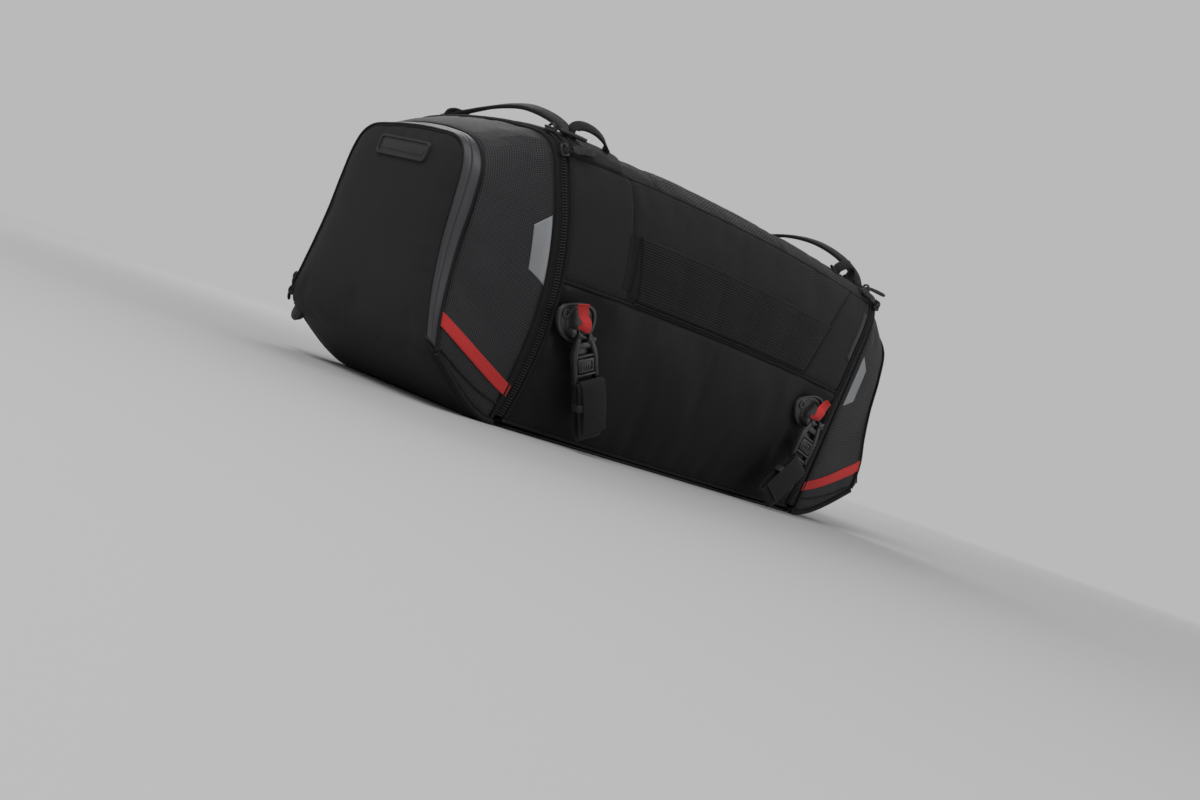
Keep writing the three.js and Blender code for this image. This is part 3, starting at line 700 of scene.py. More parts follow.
def dotted_cloth(name, color, pitch):
    """A coated cloth with a square grid of small raised dots, painted lighter on the dots (painted highlight)
    and darker between them (painted shade).
    """
    look = Look(name, color, 0.7, Sheen_Weight=0.03, Specular_IOR_Level=0.3)
    u, v = look.fabric()
    dots = look.math("MULTIPLY", ridges(look, u, pitch), ridges(look, v, pitch))
    raised = look.spread(dots, 0.0, 1.0, (0.35, 0.75))
    look.bump(look.plus(raised, look.noise(1500.0, 1.0), 0.15), 0.4)
    # Painted highlight and painted shade: the raised dots are painted lighter and the cloth between them
    # darker.
    shade = look.blend(raised, scaled(color, 0.55), scaled(color, 1.45))
    slow = look.spread(look.noise(12.0, 3.0), 0.0, 0.3, (0.4, 0.7))
    shade = look.blend(slow, shade, scaled(color, 1.9))
    return look.paint(shade, look.spread(raised, 0.85, 0.55))


def ribbed(name, color, pitch, roughness=0.75, relief=0.5, cross=0.9, shadow=0.5):
    """Webbing: ribs along it and finer threads across it, with the grooves painted darker by the shadow
    factor (painted shade) and the crests lighter (painted highlight).
    """
    look = Look(name, color, roughness, Sheen_Weight=0.05, Sheen_Roughness=0.4, Specular_IOR_Level=0.2)
    u, v = look.fabric()
    height = look.plus(ridges(look, v, pitch), ridges(look, u, cross), 0.45)
    look.bump(look.plus(height, look.noise(1100.0, 1.0), 0.3), relief)
    slow = look.noise(20.0, 3.0)
    # Painted shade and painted highlight: the grooves between ribs are darkened by shadow and the rib crests
    # lightened.
    shade = look.blend(look.spread(height, 0.0, 1.0, (0.2, 1.3)), scaled(color, shadow), scaled(color, 1.25))
    shade = look.blend(look.spread(slow, 0.0, 0.4, (0.4, 0.75)), shade, scaled(color, 1.5))
    return look.paint(shade, look.spread(slow, roughness - 0.1, roughness + 0.1, (0.3, 0.7)))


def moulded(name, color, roughness, wear=0.6, metallic=0.0, grain=0.08):
    """Moulded plastic or lacquered metal: fine grain, and paler where edges are rubbed."""
    look = Look(name, color, roughness, Metallic=metallic, Specular_IOR_Level=0.5)
    grainy = look.noise(1800.0, 2.0)
    slow = look.noise(35.0, 3.0)
    edge = look.node("NewGeometry").outputs["Pointiness"]
    rubbed = look.math("MULTIPLY", look.spread(edge, 0.0, wear, (0.5, 0.62)),
                       look.spread(slow, 0.4, 1.0, (0.35, 0.65)))
    look.bump(grainy, grain)
    shade = look.blend(slow, scaled(color, 0.8), scaled(color, 1.25))
    shade = look.blend(rubbed, shade, tuple(min(1.0, c * 3.2 + 0.02) for c in color))
    return look.paint(shade, look.spread(slow, roughness - 0.08, roughness + 0.12, (0.3, 0.7)))


def rubber_band(name, color):
    """The pocket zip's coated tape: satin, drawn out lengthwise."""
    look = Look(name, color, 0.5, Specular_IOR_Level=0.4)
    u, v = look.fabric()
    where = look.node("CombineXYZ", look.math("MULTIPLY", u, 0.02), look.math("MULTIPLY", v, 1.1), 0.0)
    drawn = look.noise(1.0, 3.0, where.outputs[0])
    look.bump(look.plus(drawn, look.noise(1600.0, 1.0), 0.5), 0.12)
    shade = look.blend(look.spread(drawn, 0.0, 1.0, (0.3, 0.7)), scaled(color, 0.8), scaled(color, 1.2))
    return look.paint(shade, look.spread(drawn, 0.42, 0.6, (0.3, 0.7)))


def reflective_film(name, color):
    """Grey reflective film: tiny glass beads under a satin skin."""
    look = Look(name, color, 0.45, Metallic=0.25, Specular_IOR_Level=0.6)
    beads = look.node("TexVoronoi")
    look.feed(beads.inputs["Vector"], look.place())
    beads.inputs["Scale"].default_value = 1500.0
    look.bump(beads.outputs[0], 0.05)
    slow = look.noise(25.0, 2.0)
    shade = look.blend(slow, scaled(color, 0.85), scaled(color, 1.12))
    return look.paint(shade, look.spread(slow, 0.38, 0.55))


BLACK = (0.0135, 0.0133, 0.0145)
RIB_PITCH = 2.4
BALLISTIC = woven("ballistic_nylon", scaled(BLACK, 1.15), 1.15, 2, relief=0.3)
COARSE = woven("coarse_nylon", scaled(BLACK, 1.3), 1.9, 1, relief=0.45)
LAMINATE = coated("smooth_laminate", scaled(BLACK, 0.6), 0.5, grain=0.1, sheen=0.01, specular=0.14)
FACE = coated("pressed_face", scaled(BLACK, 0.8), 0.74, grain=0.08, grain_size=1800.0, sheen=0.02, cloudy=0.1)
DOTTED = dotted_cloth("dotted_cloth", scaled(BLACK, 2.0), 1.75)
BAND = rubber_band("rubber_tape", (0.035, 0.035, 0.039))
WEBBING = ribbed("black_webbing", scaled(BLACK, 0.9), 1.25, relief=0.25, cross=0.8)
RIBBED = ribbed("ribbed_webbing", scaled(BLACK, 0.62), RIB_PITCH, relief=0.7, cross=1.1, roughness=0.7)
TAPE = ribbed("zip_tape_weave", scaled(BLACK, 0.75), 0.8, relief=0.2, cross=0.7)
RED = ribbed("red_webbing_weave", (0.46, 0.03, 0.028), 1.7, roughness=0.65, relief=0.12, cross=0.8,
             shadow=0.8)
PIPING = woven("piping_cloth", scaled(BLACK, 0.6), 0.9, 1, relief=0.15)
LINING = woven("lining_cloth", (0.03, 0.03, 0.033), 0.7, 1, relief=0.12)
THREAD = woven("sewing_thread", scaled(BLACK, 1.6), 0.5, 1, relief=0.08)
RED_THREAD = woven("red_thread", (0.44, 0.03, 0.028), 0.5, 1, relief=0.08)
COIL = moulded("nylon_coil", scaled(BLACK, 0.7), 0.42, wear=0.15)
PLASTIC = moulded("moulded_nylon", scaled(BLACK, 0.8), 0.36, wear=0.35)
LACQUER = moulded("black_lacquer", scaled(BLACK, 1.2), 0.35, wear=0.7, metallic=0.5)
RUBBER = moulded("moulded_rubber", scaled(BLACK, 0.8), 0.6, wear=0.3, grain=0.05)
BOARD = moulded("stiffening_board", scaled(BLACK, 1.6), 0.7, wear=0.2)
FILM = reflective_film("reflective_film", (0.24, 0.25, 0.26))
LABEL = coated("label_tape", (0.034, 0.034, 0.036), 0.6, grain=0.05)


# ---------------------------------------------------------------- camera, lights and floor


def add_camera():
    """The camera stands at the front left, low down, and is rolled as the bag leans in the picture."""
    place = Vector((-0.8775, -1.0013, 0.057))
    forward = Vector((0.6627, 0.7489, -0.0072)).normalized()
    roll = math.radians(19.0)
    right = forward.cross(Vector((0, 0, 1))).normalized()
    up = right.cross(forward)
    tilted_right = right * math.cos(roll) + up * math.sin(roll)
    tilted_up = up * math.cos(roll) - right * math.sin(roll)
    data = bpy.data.cameras.new("camera")
    data.lens = 40.1
    data.sensor_width = 36
    data.clip_start = 0.05
    camera = bpy.data.objects.new("camera", data)
    bpy.context.scene.collection.objects.link(camera)
    turned = Matrix((tilted_right, tilted_up, -forward)).transposed()
    camera.matrix_world = Matrix.Translation(place) @ turned.to_4x4()
    bpy.context.scene.camera = camera


def add_light(name, place, target, size, power):
    data = bpy.data.lights.new(name, "AREA")
    data.shape = "DISK"
    data.size = size
    data.energy = power
    light = bpy.data.objects.new(name, data)
    bpy.context.scene.collection.objects.link(light)
    light.location = place
    light.rotation_euler = (Vector(target) - Vector(place)).to_track_quat("-Z", "Y").to_euler()


BACKDROP = (0.49, 0.49, 0.495)
FLOOR_REACH = 12  # metres


def add_studio():
    world = bpy.data.worlds.new("studio")
    world.use_nodes = True
    background = next(n for n in world.node_tree.nodes if n.type == "BACKGROUND")
    background.inputs["Color"].default_value = (*BACKDROP, 1)
    background.inputs["Strength"].default_value = 1.0
    bpy.context.scene.world = world
    add_light("key", (-1.6, -0.6, 2.1), (0, 0, 0.12), 1.6, 34)
    add_light("fill", (1.4, -1.8, 0.9), (0, 0, 0.12), 1.4, 8)
    add_light("rim", (0.8, 1.8, 1.6), (0, 0, 0.15), 1.4, 18)
    mesh = bpy.data.meshes.new("floor")
    square = [(x * FLOOR_REACH, y * FLOOR_REACH, 0) for x, y in ((-1, -1), (1, -1), (1, 1), (-1, 1))]
    mesh.from_pydata(square, [], [(0, 1, 2, 3)])
    mesh.materials.append(floor_material())
    floor = bpy.data.objects.new("floor", mesh)
    bpy.context.scene.collection.objects.link(floor)
    bpy.context.scene.view_settings.view_transform = "Standard"


def floor_material():
    """A pale floor that fades into the backdrop a few metres away, so that no horizon shows."""
    look = Look("pale_floor", (0.44, 0.44, 0.445), 0.95, Specular_IOR_Level=0.05)
    slow = look.noise(1.5, 3.0)
    look.bump(look.noise(700.0, 2.0), 0.02)
    length = look.node("VectorMath", look.place(), operation="LENGTH").outputs["Value"]
    near = look.blend(slow, (0.41, 0.41, 0.415), (0.43, 0.43, 0.435))
    look.paint(look.blend(look.spread(length, 0.0, 1.0, (0.45, 1.3)), near, (0.47, 0.47, 0.475)))
    clear = look.node("BsdfTransparent").outputs[0]
    mixed = look.node("MixShader", look.spread(length, 0.0, 1.0, (1.0, 2.2)), look.shader.outputs[0], clear)
    output = next(n for n in look.nodes if n.type == "OUTPUT_MATERIAL")
    look.links.new(mixed.outputs[0], output.inputs["Surface"])
    return look.material


# ---------------------------------------------------------------- cloth panels


def cloth_coordinates(p):
    """Cloth coordinates that follow X along the bag, and the cloth's own run round it."""
    middle = p[p.shape[0] // 2]
    return np.stack(np.broadcast_arrays(p[..., 0], along(middle)[None, :]), -1)


COARSE_CELL = 7  # millimetres between the points that are simulated, before the cloth is read more finely
SWELL_REACH = 26  # how far in from its seams a cloth comes up to its full swell
ROLL_RADIUS = 5.5
RIPPLE_SIZE = 70


def panel(build, name, surface, size, roll, swell, pressure, slack, cap, thickness, seed,
          slot=0, back=1, step=(5.0, 5.0), ripple=0.25, extra=None, pinned=None):
    """Adds one cut of cloth to build.

    surface(a, b) gives its points for a and b from 0 to 1, size is its length and width, and roll is how
    deep each of its four edges turns under: at a=0, a=1, b=0, b=1. extra(p) adds to its height, and
    pinned(p) says where it is held down.
    """
    length, width = size
    cells = [np.linspace(0, 1, max(8, round(side / COARSE_CELL))) for side in size]
    p = surface(*np.meshgrid(*cells, indexing="ij"))
    p = relax(name, p, grid_normals(p), pressure, slack, cap, None if pinned is None else pinned(p))
    a, b = stops(length, step[0]), stops(width, step[1])
    p = resample(p, a, b)
    normals = grid_normals(p)
    a, b = a[:, None], b[None, :]
    edges = (a * length, (1 - a) * length, b * width, (1 - b) * width)
    to_end, to_side = np.minimum(*edges[:2]), np.minimum(*edges[2:])
    rise = swell * (np.minimum(1, to_end / SWELL_REACH) * np.minimum(1, to_side / SWELL_REACH)) ** 0.7
    for distance, depth in zip(edges, roll):
        rise = rise - rolled(distance, depth, ROLL_RADIUS)
    rise = rise + ripple * ripples(p, RIPPLE_SIZE, seed) * np.minimum(1, to_end / 15)
    if extra is not None:
        rise = rise + extra(p)
    p = p + normals * rise[..., None]
    build.sheet(p, cloth_coordinates(p), thickness, slot, back, normals)
    SKIN.add(p)


BODY_REACH = 0.974  # the body's cloth stops here, and the zip's tape carries on to the coil


def dimples(p):
    """The side panel is drawn in at the hold-downs' anchor plates, and swells a little round them."""
    total = 0
    for end in (-1, 1):
        away = np.hypot((p[..., 0] - end * 158) / 1.15, p[..., 2] - 106)
        total = total - 3.2 * np.exp(-((away / 27) ** 4)) + 0.9 * np.exp(-(((away - 38) / 10) ** 2))
    return total


def under_anchor(p):
    """Where the lower panel lies flat behind the anchor plates."""
    return np.hypot(np.abs(p[..., 0]) - 160, p[..., 2] - 104) < 27


def add_lower_panel(place, side):
    build = Build()
    low, high = side * 0.999, side * (1 - SEAM + 0.002)

    def surface(a, b):
        return body_at(lerp(-BODY_REACH, BODY_REACH, a), lerp(low, high, b))

    panel(build, f"{place}_lower", surface, (384, 134), (2.2, 2.2, 3.0, 2.2), swell=1.2, pressure=2.2,
          slack=0.006, cap=3.5, thickness=5.5, seed=11, extra=dimples, pinned=under_anchor)
    piece = build.done(f"{place}_lower_cloth", [LAMINATE, LINING], "bag", "laminate",
                       [f"{place}_lower_panel"])


# Where the upper side panel's two upright seams run, from the side seam up to the shoulder.
UPRIGHT_SEAMS = ((-0.61, -0.675), (0.645, 0.79))
HALF_LENGTH = 205  # of the side panels, as cloth
OUTER_ROLL, INNER_ROLL = 2.2, 0.9


def add_upper_panel(place, side):
    build = Build()
    low, high = side * (1 - SEAM - 0.002), side * (1 - SHOULDER + 0.002)
    edges = [(-BODY_REACH, -BODY_REACH), *UPRIGHT_SEAMS, (BODY_REACH, BODY_REACH)]
    for i, (left, right) in enumerate(zip(edges[:-1], edges[1:])):
        def surface(a, b):
            s = lerp(lerp(*left, b), lerp(*right, b), a)
            return body_at(s, lerp(low, high, b))

        length = (sum(right) - sum(left)) / 2 * HALF_LENGTH
        roll = (OUTER_ROLL if i == 0 else INNER_ROLL, OUTER_ROLL if i == 2 else INNER_ROLL, 2.0, 1.4)
        panel(build, f"{place}_upper_{i}", surface, (length, 110), roll, swell=0.7, pressure=1.4, slack=0.004,
              cap=1.6, thickness=4.2, seed=20 + i)
    b = np.linspace(0.02, 0.98, 60)
    for seam in UPRIGHT_SEAMS:
        build.stitches(*on_body(lerp(*seam, b) + 0.012, lerp(low, high, b)), slot=2)
    piece = build.done(f"{place}_upper_cloth", [BALLISTIC, LINING, THREAD], "bag", "ballistic",
                       [f"{place}_upper_panel"])


# The top's seams cross it from shoulder to shoulder: where each meets the shoulder, and the middle, and how
# far beside it its stitches run. Its four cuts lie between them: their length, how deep their two ends turn
# under, and how high they lie where they overlap.
TOP_SEAMS = ((-157, -130, -0.018), (-119, -96, 0.013), (53, 76, 0.013))
TOP_CUTS = ((75, (2.4, 3.2), 1.8), (36, (0.6, 1.0), -0.9), (172, (1.0, 1.0), 0), (155, (1.0, 2.4), 0))
COARSE_CUT = 2


def add_top_panel():
    build = Build()
    reach = 1 - SHOULDER - 0.002

    def seam_at(i, w):
        shoulder, middle, _ = TOP_SEAMS[i]
        return lerp(middle, shoulder, smooth(np.abs(w) / reach * 1.15)) / ZIP_LINE(1 - np.abs(w))[..., 0]

    def edge(i, w):
        if 0 < i < len(TOP_CUTS):
            return seam_at(i - 1, w)
        return np.full_like(w, -BODY_REACH if i == 0 else BODY_REACH)

    for i, (length, roll, height) in enumerate(TOP_CUTS):
        def surface(a, b):
            w = lerp(-reach, reach, b)
            return body_at(lerp(edge(i, w), edge(i + 1, w), a), w)

        panel(build, f"top_{i}", surface, (length, 262), (*roll, 1.6, 1.6), swell=0.8, pressure=2.0,
              slack=0.005, cap=1.8, thickness=4.5, seed=30 + i, slot=1 if i == COARSE_CUT else 0, back=2,
              extra=lambda p: height)
    w = np.linspace(-reach, reach, 120) * 0.985
    for i, (_, _, offset) in enumerate(TOP_SEAMS):
        build.stitches(*on_body(seam_at(i, w) + offset, w), slot=3)
    piece = build.done("top_cloth", [BALLISTIC, COARSE, LINING, THREAD], "bag", "ballistic", ["top_panel"])


def add_seams():
    """Piping in the seams between the body's panels, and along its lower edge: station, radius and lift."""
    s = np.linspace(-BODY_REACH, BODY_REACH, 90)
    for place, side in SIDES.items():
        build = Build()
        for v, radius, lift in ((SEAM, 1.5, -0.7), (SHOULDER, 1.1, -0.9), (0.004, 1.6, -0.6)):
            w = np.full_like(s, side * (1 - v))
            build.tube(body_at(s, w) + outward(w) * lift, radius, near=(0, side, 0.2))
        build.done(f"{place}_piping", [PIPING], "bag", "webbing")


def add_base():
    lo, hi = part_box("base_panel")
    length, width = (hi.x - lo.x) / MM, (hi.y - lo.y) / MM
    build = Build()
    flat = placed((0, 0, 0), (1, 0, 0), (0, 1, 0))
    build.prism(rounded(length, width, 18, steps=8), flat, 0, 2.7, bevel=0.9)
    hem = closed_loop(rounded(length - 12, width - 12, 13, steps=8), 0.35)
    build.stitches(dense(hem, 3), (0, 0, -1), slot=1, lift=0.0)
    build.done("base_cloth", [LAMINATE, THREAD], "bag", "laminate", ["base_panel"])
    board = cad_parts["base_board"]
    board.data.materials.clear()
    board.data.materials.append(BOARD)


# The ribbed panel's corners on the body: s at its lower and upper edge, at each end, and v.
WEBBING_LEFT, WEBBING_RIGHT = (-0.560, -0.606), (0.635, 0.712)
WEBBING_LOW, WEBBING_HIGH = 0.343, 0.482
WEBBING_SIZE = (250, 55)
CHANNELS = 5


def add_webbing_panel(place, side):
    """Wide ribbed webbing, sewn down in channels so that things can be lashed to it."""
    def spot(a, b):
        s = lerp(lerp(*WEBBING_LEFT, b), lerp(*WEBBING_RIGHT, b), a)
        return s, lerp(side * (1 - WEBBING_LOW), side * (1 - WEBBING_HIGH), b)

    def channel(a):
        """How far the webbing stands up between its rows of stitches, from 0 to 1."""
        return np.abs(np.sin(np.pi * a * CHANNELS)) ** 0.6

    build = Build()
    a, b = np.meshgrid(stops(WEBBING_SIZE[0], 2.6), stops(WEBBING_SIZE[1], 0.8), indexing="ij")
    ribs = 0.2 * np.cos(2 * np.pi * b * WEBBING_SIZE[1] / RIB_PITCH)
    edge = to_edge(a, b, WEBBING_SIZE)
    rise = 1.9 + 1.3 * channel(a) * np.sin(np.pi * b) ** 0.5
    rise = rise + ribs * smooth(edge / 3) - rolled(edge, 1.2, 1.4)
    p, out = on_body(*spot(a, b))
    p = p + out * rise[..., None]
    build.sheet(p, cloth_coordinates(p), 2.2)
    b = np.linspace(0.03, 0.97, 40)
    for at in np.clip(np.linspace(0, 1, CHANNELS + 1), 0.012, 0.988):
        build.stitches(*on_body(*spot(np.full_like(b, at), b), 1.6), pitch=2.6, slot=1)
    a = np.linspace(0.01, 0.99, 120)
    for at in (0.035, 0.965):
        p, out = on_body(*spot(a, np.full_like(a, at)))
        lift = 1.6 + 1.5 * channel(a) * np.sin(np.pi * at) ** 0.5
        build.stitches(p + out * lift[:, None], out, slot=1)
    build.done(f"{place}_ribbed_webbing", [RIBBED, THREAD], "bag", "webbing", [f"{place}_webbing_panel"])


def add_tab_painted_shadow_and_cord(place, side):
    """The flat tab behind the ribbed panel's left end, a strip of the same dark cloth beside and under that
    end that is painted shadow for the gap under its raised edge, and the cord that runs on along the side
    seam.
    """
    build = Build()
    lower, upper = WEBBING_LEFT
    # The first sheet is the tab. The second, of the same dark cloth and raised higher, lies along the ribbed
    # panel's left edge as painted shadow for the gap under that edge.
    for s0, s1, v0, v1, lift in ((upper - 0.05, lower - 0.004, 0.36, WEBBING_HIGH - 0.004, 0.3),
                                 (upper + 0.002, lower + 0.02, 0.347, WEBBING_HIGH - 0.01, 0.9)):
        s = lerp(s0, s1, stops((s1 - s0) * 200, 4.0))
        v = lerp(v0, v1, stops((v1 - v0) * 400, 2.0))
        s, w = np.meshgrid(s, side * (1 - v), indexing="ij")
        p, _ = on_body(s, w, lift)
        build.sheet(p, cloth_coordinates(p), 1.0)
    s = np.linspace(lower - 0.01, 0.195, 70)
    w = np.full_like(s, side * (1 - 0.3385))
    build.tube(body_at(s, w) + outward(w) * 0.9, 1.1, near=(0, side, 0.2))
    build.done(f"{place}_tab_painted_shadow_and_cord", [PIPING], "bag", "webbing")


def add_label():
    """A small blank grey strip sewn in beside the far zip."""
    build = Build()
    w = np.linspace(0.42, 0.60, 24) - 1
    grid = np.stack([on_body(np.full_like(w, s), w, 0.6)[0] for s in (0.922, 0.937, 0.952)])
    build.sheet(grid, cloth_coordinates(grid), 0.6)
    build.done("side_label", [LABEL], "bag")


# ---------------------------------------------------------------- zips

TEETH_PITCH = 2.4
TOOTH = [(-0.6, -0.4), (2.2, -0.46), (2.5, 0), (2.2, 0.46), (-0.6, 0.4), (-0.9, 0)]
ZIP_REACH = 0.985


def add_coil(build, path, out, into, slot=0):
    """One half of a coil zip: path is the middle of the zip, and into points towards its own tape."""
    path = dense(path, TEETH_PITCH)
    out = between(out, np.linspace(0, 1, len(out)), np.linspace(0, 1, len(path)))
    way = unit(np.gradient(path, axis=0))
    out = square_to(way, out)
    across = np.cross(way, out)
    across *= np.sign(np.sum(across * into, -1, keepdims=True))
    for middle, o, x, forward in zip(path[:-1], out, across, way):
        if np.dot(np.cross(x, forward), o) < 0:
            forward = -forward
        build.prism(TOOTH, placed(middle + o * 0.3, x, forward, np.cross(x, forward)), -0.6, 0.6, 0.28, slot)


HATCH_TAPE = 0.105  # how far along the hatch its half of the zip's tape reaches


def add_main_zip(place, end):
    line = np.linspace(-ZIP_REACH, ZIP_REACH, 240)
    path, path_out = hatch_at(end, np.zeros_like(line), line), outward(line)
    w = np.linspace(-ZIP_REACH, ZIP_REACH, 150)

    def add_half(points, heights, distance, away):
        """The tape, given as rows of points and their heights, and its half of the coil."""
        build = Build()
        p = points + outward(w) * np.array(heights)[:, None, None]
        uv = np.stack(np.broadcast_arrays(along(p[2])[None, :], distance[:, None]), -1)
        build.sheet(p, uv, 0.8)
        add_coil(build, path, path_out, np.array([away, 0.0, 0.0]), slot=1)
        return build

    s = np.linspace(BODY_REACH - 0.012, 0.999, 5)
    build = add_half(body_at(s[:, None] * end, w[None]), (-1.2, -0.8, -0.5, -0.4, -0.6), s * 200, -end)
    edge = np.linspace(-ZIP_REACH, ZIP_REACH, 200)
    build.tube(body_at(np.full(200, (BODY_REACH - 0.004) * end), edge) + outward(edge) * 0.2, 1.25, slot=2)
    build.done(f"{place}_body_zip_half", [TAPE, COIL, PIPING], "bag", "zip", [f"{place}_zip_tape"])

    c = np.array([0.004, 0.03, 0.07, 0.11, HATCH_TAPE + 0.02])
    rows = hatch_at(end, *np.meshgrid(c, w, indexing="ij"))
    build = add_half(rows, (-0.6, -0.4, -0.2, -0.4, -1.2), c * 80, end)
    edge = np.linspace(-0.99, 0.99, 220)
    for c, radius, lift in ((HATCH_TAPE - 0.015, 1.5, 0.4), (0.075, 0.55, 0.1)):
        build.tube(hatch_at(end, np.full_like(edge, c), edge) + outward(edge) * lift, radius, slot=2)
    build.done(f"{place}_hatch_zip_half", [TAPE, COIL, PIPING], f"{place}_hatch", "zip")


# ---------------------------------------------------------------- hatches


def hatch_patch(build, end, spot, size, lift, thickness, step=3.0, ribs=0):
    """A flat piece sewn on a hatch; spot(a, b) gives its place there for a and b from 0 to 1."""
    a, b = np.meshgrid(stops(size[0], step), stops(size[1], step), indexing="ij")
    rise = lift - rolled(to_edge(a, b, size), min(lift, 0.6), 1.2)
    if ribs:
        rise = rise + 0.08 * np.cos(2 * np.pi * b * ribs)
    p, out = on_hatch(end, *spot(a, b))
    build.sheet(p + out * rise[..., None], np.stack([a * size[0], b * size[1]], -1), thickness)


def add_hatch_cloth(place, end):
    build = Build()

    def surface(a, b):
        return hatch_at(end, lerp(HATCH_TAPE, 0.985, a), lerp(-0.998, 0.998, b))

    panel(build, f"{place}_hatch", surface, (62, 690), (1.8, 2.0, 2.4, 2.4), swell=0.9, pressure=1.6,
          slack=0.004, cap=1.6, thickness=4.6, seed=40, step=(3.5, 5.0), ripple=0.2)
    w = np.linspace(-0.985, 0.985, 300)
    for c in (HATCH_TAPE + 0.045, 0.955):
        build.stitches(*on_hatch(end, np.full_like(w, c), w), slot=2)
    piece = build.done(f"{place}_hatch_cloth", [DOTTED, LINING, THREAD], f"{place}_hatch", "dotted",
                       [f"{place}_hatch_shell"])


def add_hatch_trim(place, side_name, side, end):
    """What is sewn on a hatch's flank: the red stripe, the piping below it and the reflective film."""
    name, hatch = f"{place}_{side_name}", f"{place}_hatch"

    def stripe(a, b):
        low, high = lerp(0.067, 0.081, a) + 0.002 * np.sin(np.pi * a), lerp(0.097, 0.126, a)
        return lerp(0.062, 0.99, a), side * (1 - lerp(low, high, b))

    build = Build()
    hatch_patch(build, end, stripe, (80, 14), 1.0, 1.0, step=1.6, ribs=3)
    for b in (0.1, 0.9):
        build.stitches(*on_hatch(end, *stripe(np.linspace(0.02, 0.98, 60), b), 0.95), slot=1, radius=0.16)
    build.done(f"{name}_red_stripe", [RED, RED_THREAD], hatch, "red_webbing")

    build = Build()
    c = np.linspace(0.06, 0.94, 70)
    w = side * (1 - lerp(0.041, 0.022, ((c - c[0]) / (c[-1] - c[0])) ** 1.6))
    build.tube(on_hatch(end, c, w, 0.2)[0], 1.0)
    c = np.linspace(0.05, 0.99, 70)
    w = np.full_like(c, side * 0.999)
    build.tube(hatch_at(end, c, w) + np.array([0, side * 0.2, -1.4]), 2.2)
    build.done(f"{name}_lower_piping", [PIPING], hatch, "webbing")

    def trapezoid(a, b):
        low, high = lerp(0.308, 0.331, a), lerp(0.460, 0.427, a)
        outer = 0.07 if end > 0 else 0
        return outer + lerp(lerp(0.105, 0.315, a), lerp(0.136, 0.345, a), b), side * (1 - lerp(low, high, b))

    build = Build()
    hatch_patch(build, end, trapezoid, (22, 56), 0.7, 0.6)
    build.done(f"{name}_reflector", [FILM], hatch)


FACE_TURN = 0.711  # the station where the face's side becomes its top edge
COVER_FOOT = [(200.5, 1.2), (210, 2.4)]
COVER_SHIN = [(278.4, 37.8), (286.0, 43.2), (289.4, 49.6)]


def cover_underside(end, q, t):
    """The underside, from the hinge line on the floor up to the pocket's face; q is -1 and 1 at its sides."""
    rise = [hatch_at(1, c, -1.0) for c in (0.25, 0.4, 0.55, 0.7, 0.85)]
    profile = [*COVER_FOOT, *((point[0], point[2] - 4.0) for point in rise), *COVER_SHIN]
    p = Line([(x, 0, z) for x, z in profile])(t)
    return np.stack([p[..., 0] * end, q * np.interp(t, [0, 0.85, 1], [117, 121, 117.6]), p[..., 2]], -1)


def cover_face(end, q, t):
    """The pocket's face, filled in between its four edges; t is 0 at its foot and 1 at its top."""
    def rim(v, side):
        p = FACE_LINE(v)
        return np.stack([p[..., 0], (p[..., 1] - 0.4) * side, p[..., 2]], -1)

    def sides(v):
        return rim(v, -1.0), rim(v, 1.0)

    w = q * (1 - FACE_TURN)
    left, right = sides(t * FACE_TURN)
    low_left, low_right = sides(np.zeros_like(q))
    top_left, top_right = sides(np.full_like(q, FACE_TURN))
    over = rim(1 - np.abs(w), np.where(w < 0, -1.0, 1.0))
    t, u = t[..., None], (q[..., None] + 1) / 2
    p = (1 - t) * lerp(low_left, low_right, u) + t * over + (1 - u) * left + u * right
    p = p - ((1 - t) * ((1 - u) * low_left + u * low_right) + t * ((1 - u) * top_left + u * top_right))
    crown = FACE_CROWN * (1 - q ** 2) ** 0.8 * np.clip(4 * t[..., 0] * (1 - t[..., 0]), 0, 1) ** 0.6
    return np.stack([(p[..., 0] + crown) * end, p[..., 1], p[..., 2]], -1)


COVER_SIZE = (275, 225)
UNDERSIDE_SHARE = 0.36
COVER_CELLS = (38, 44)


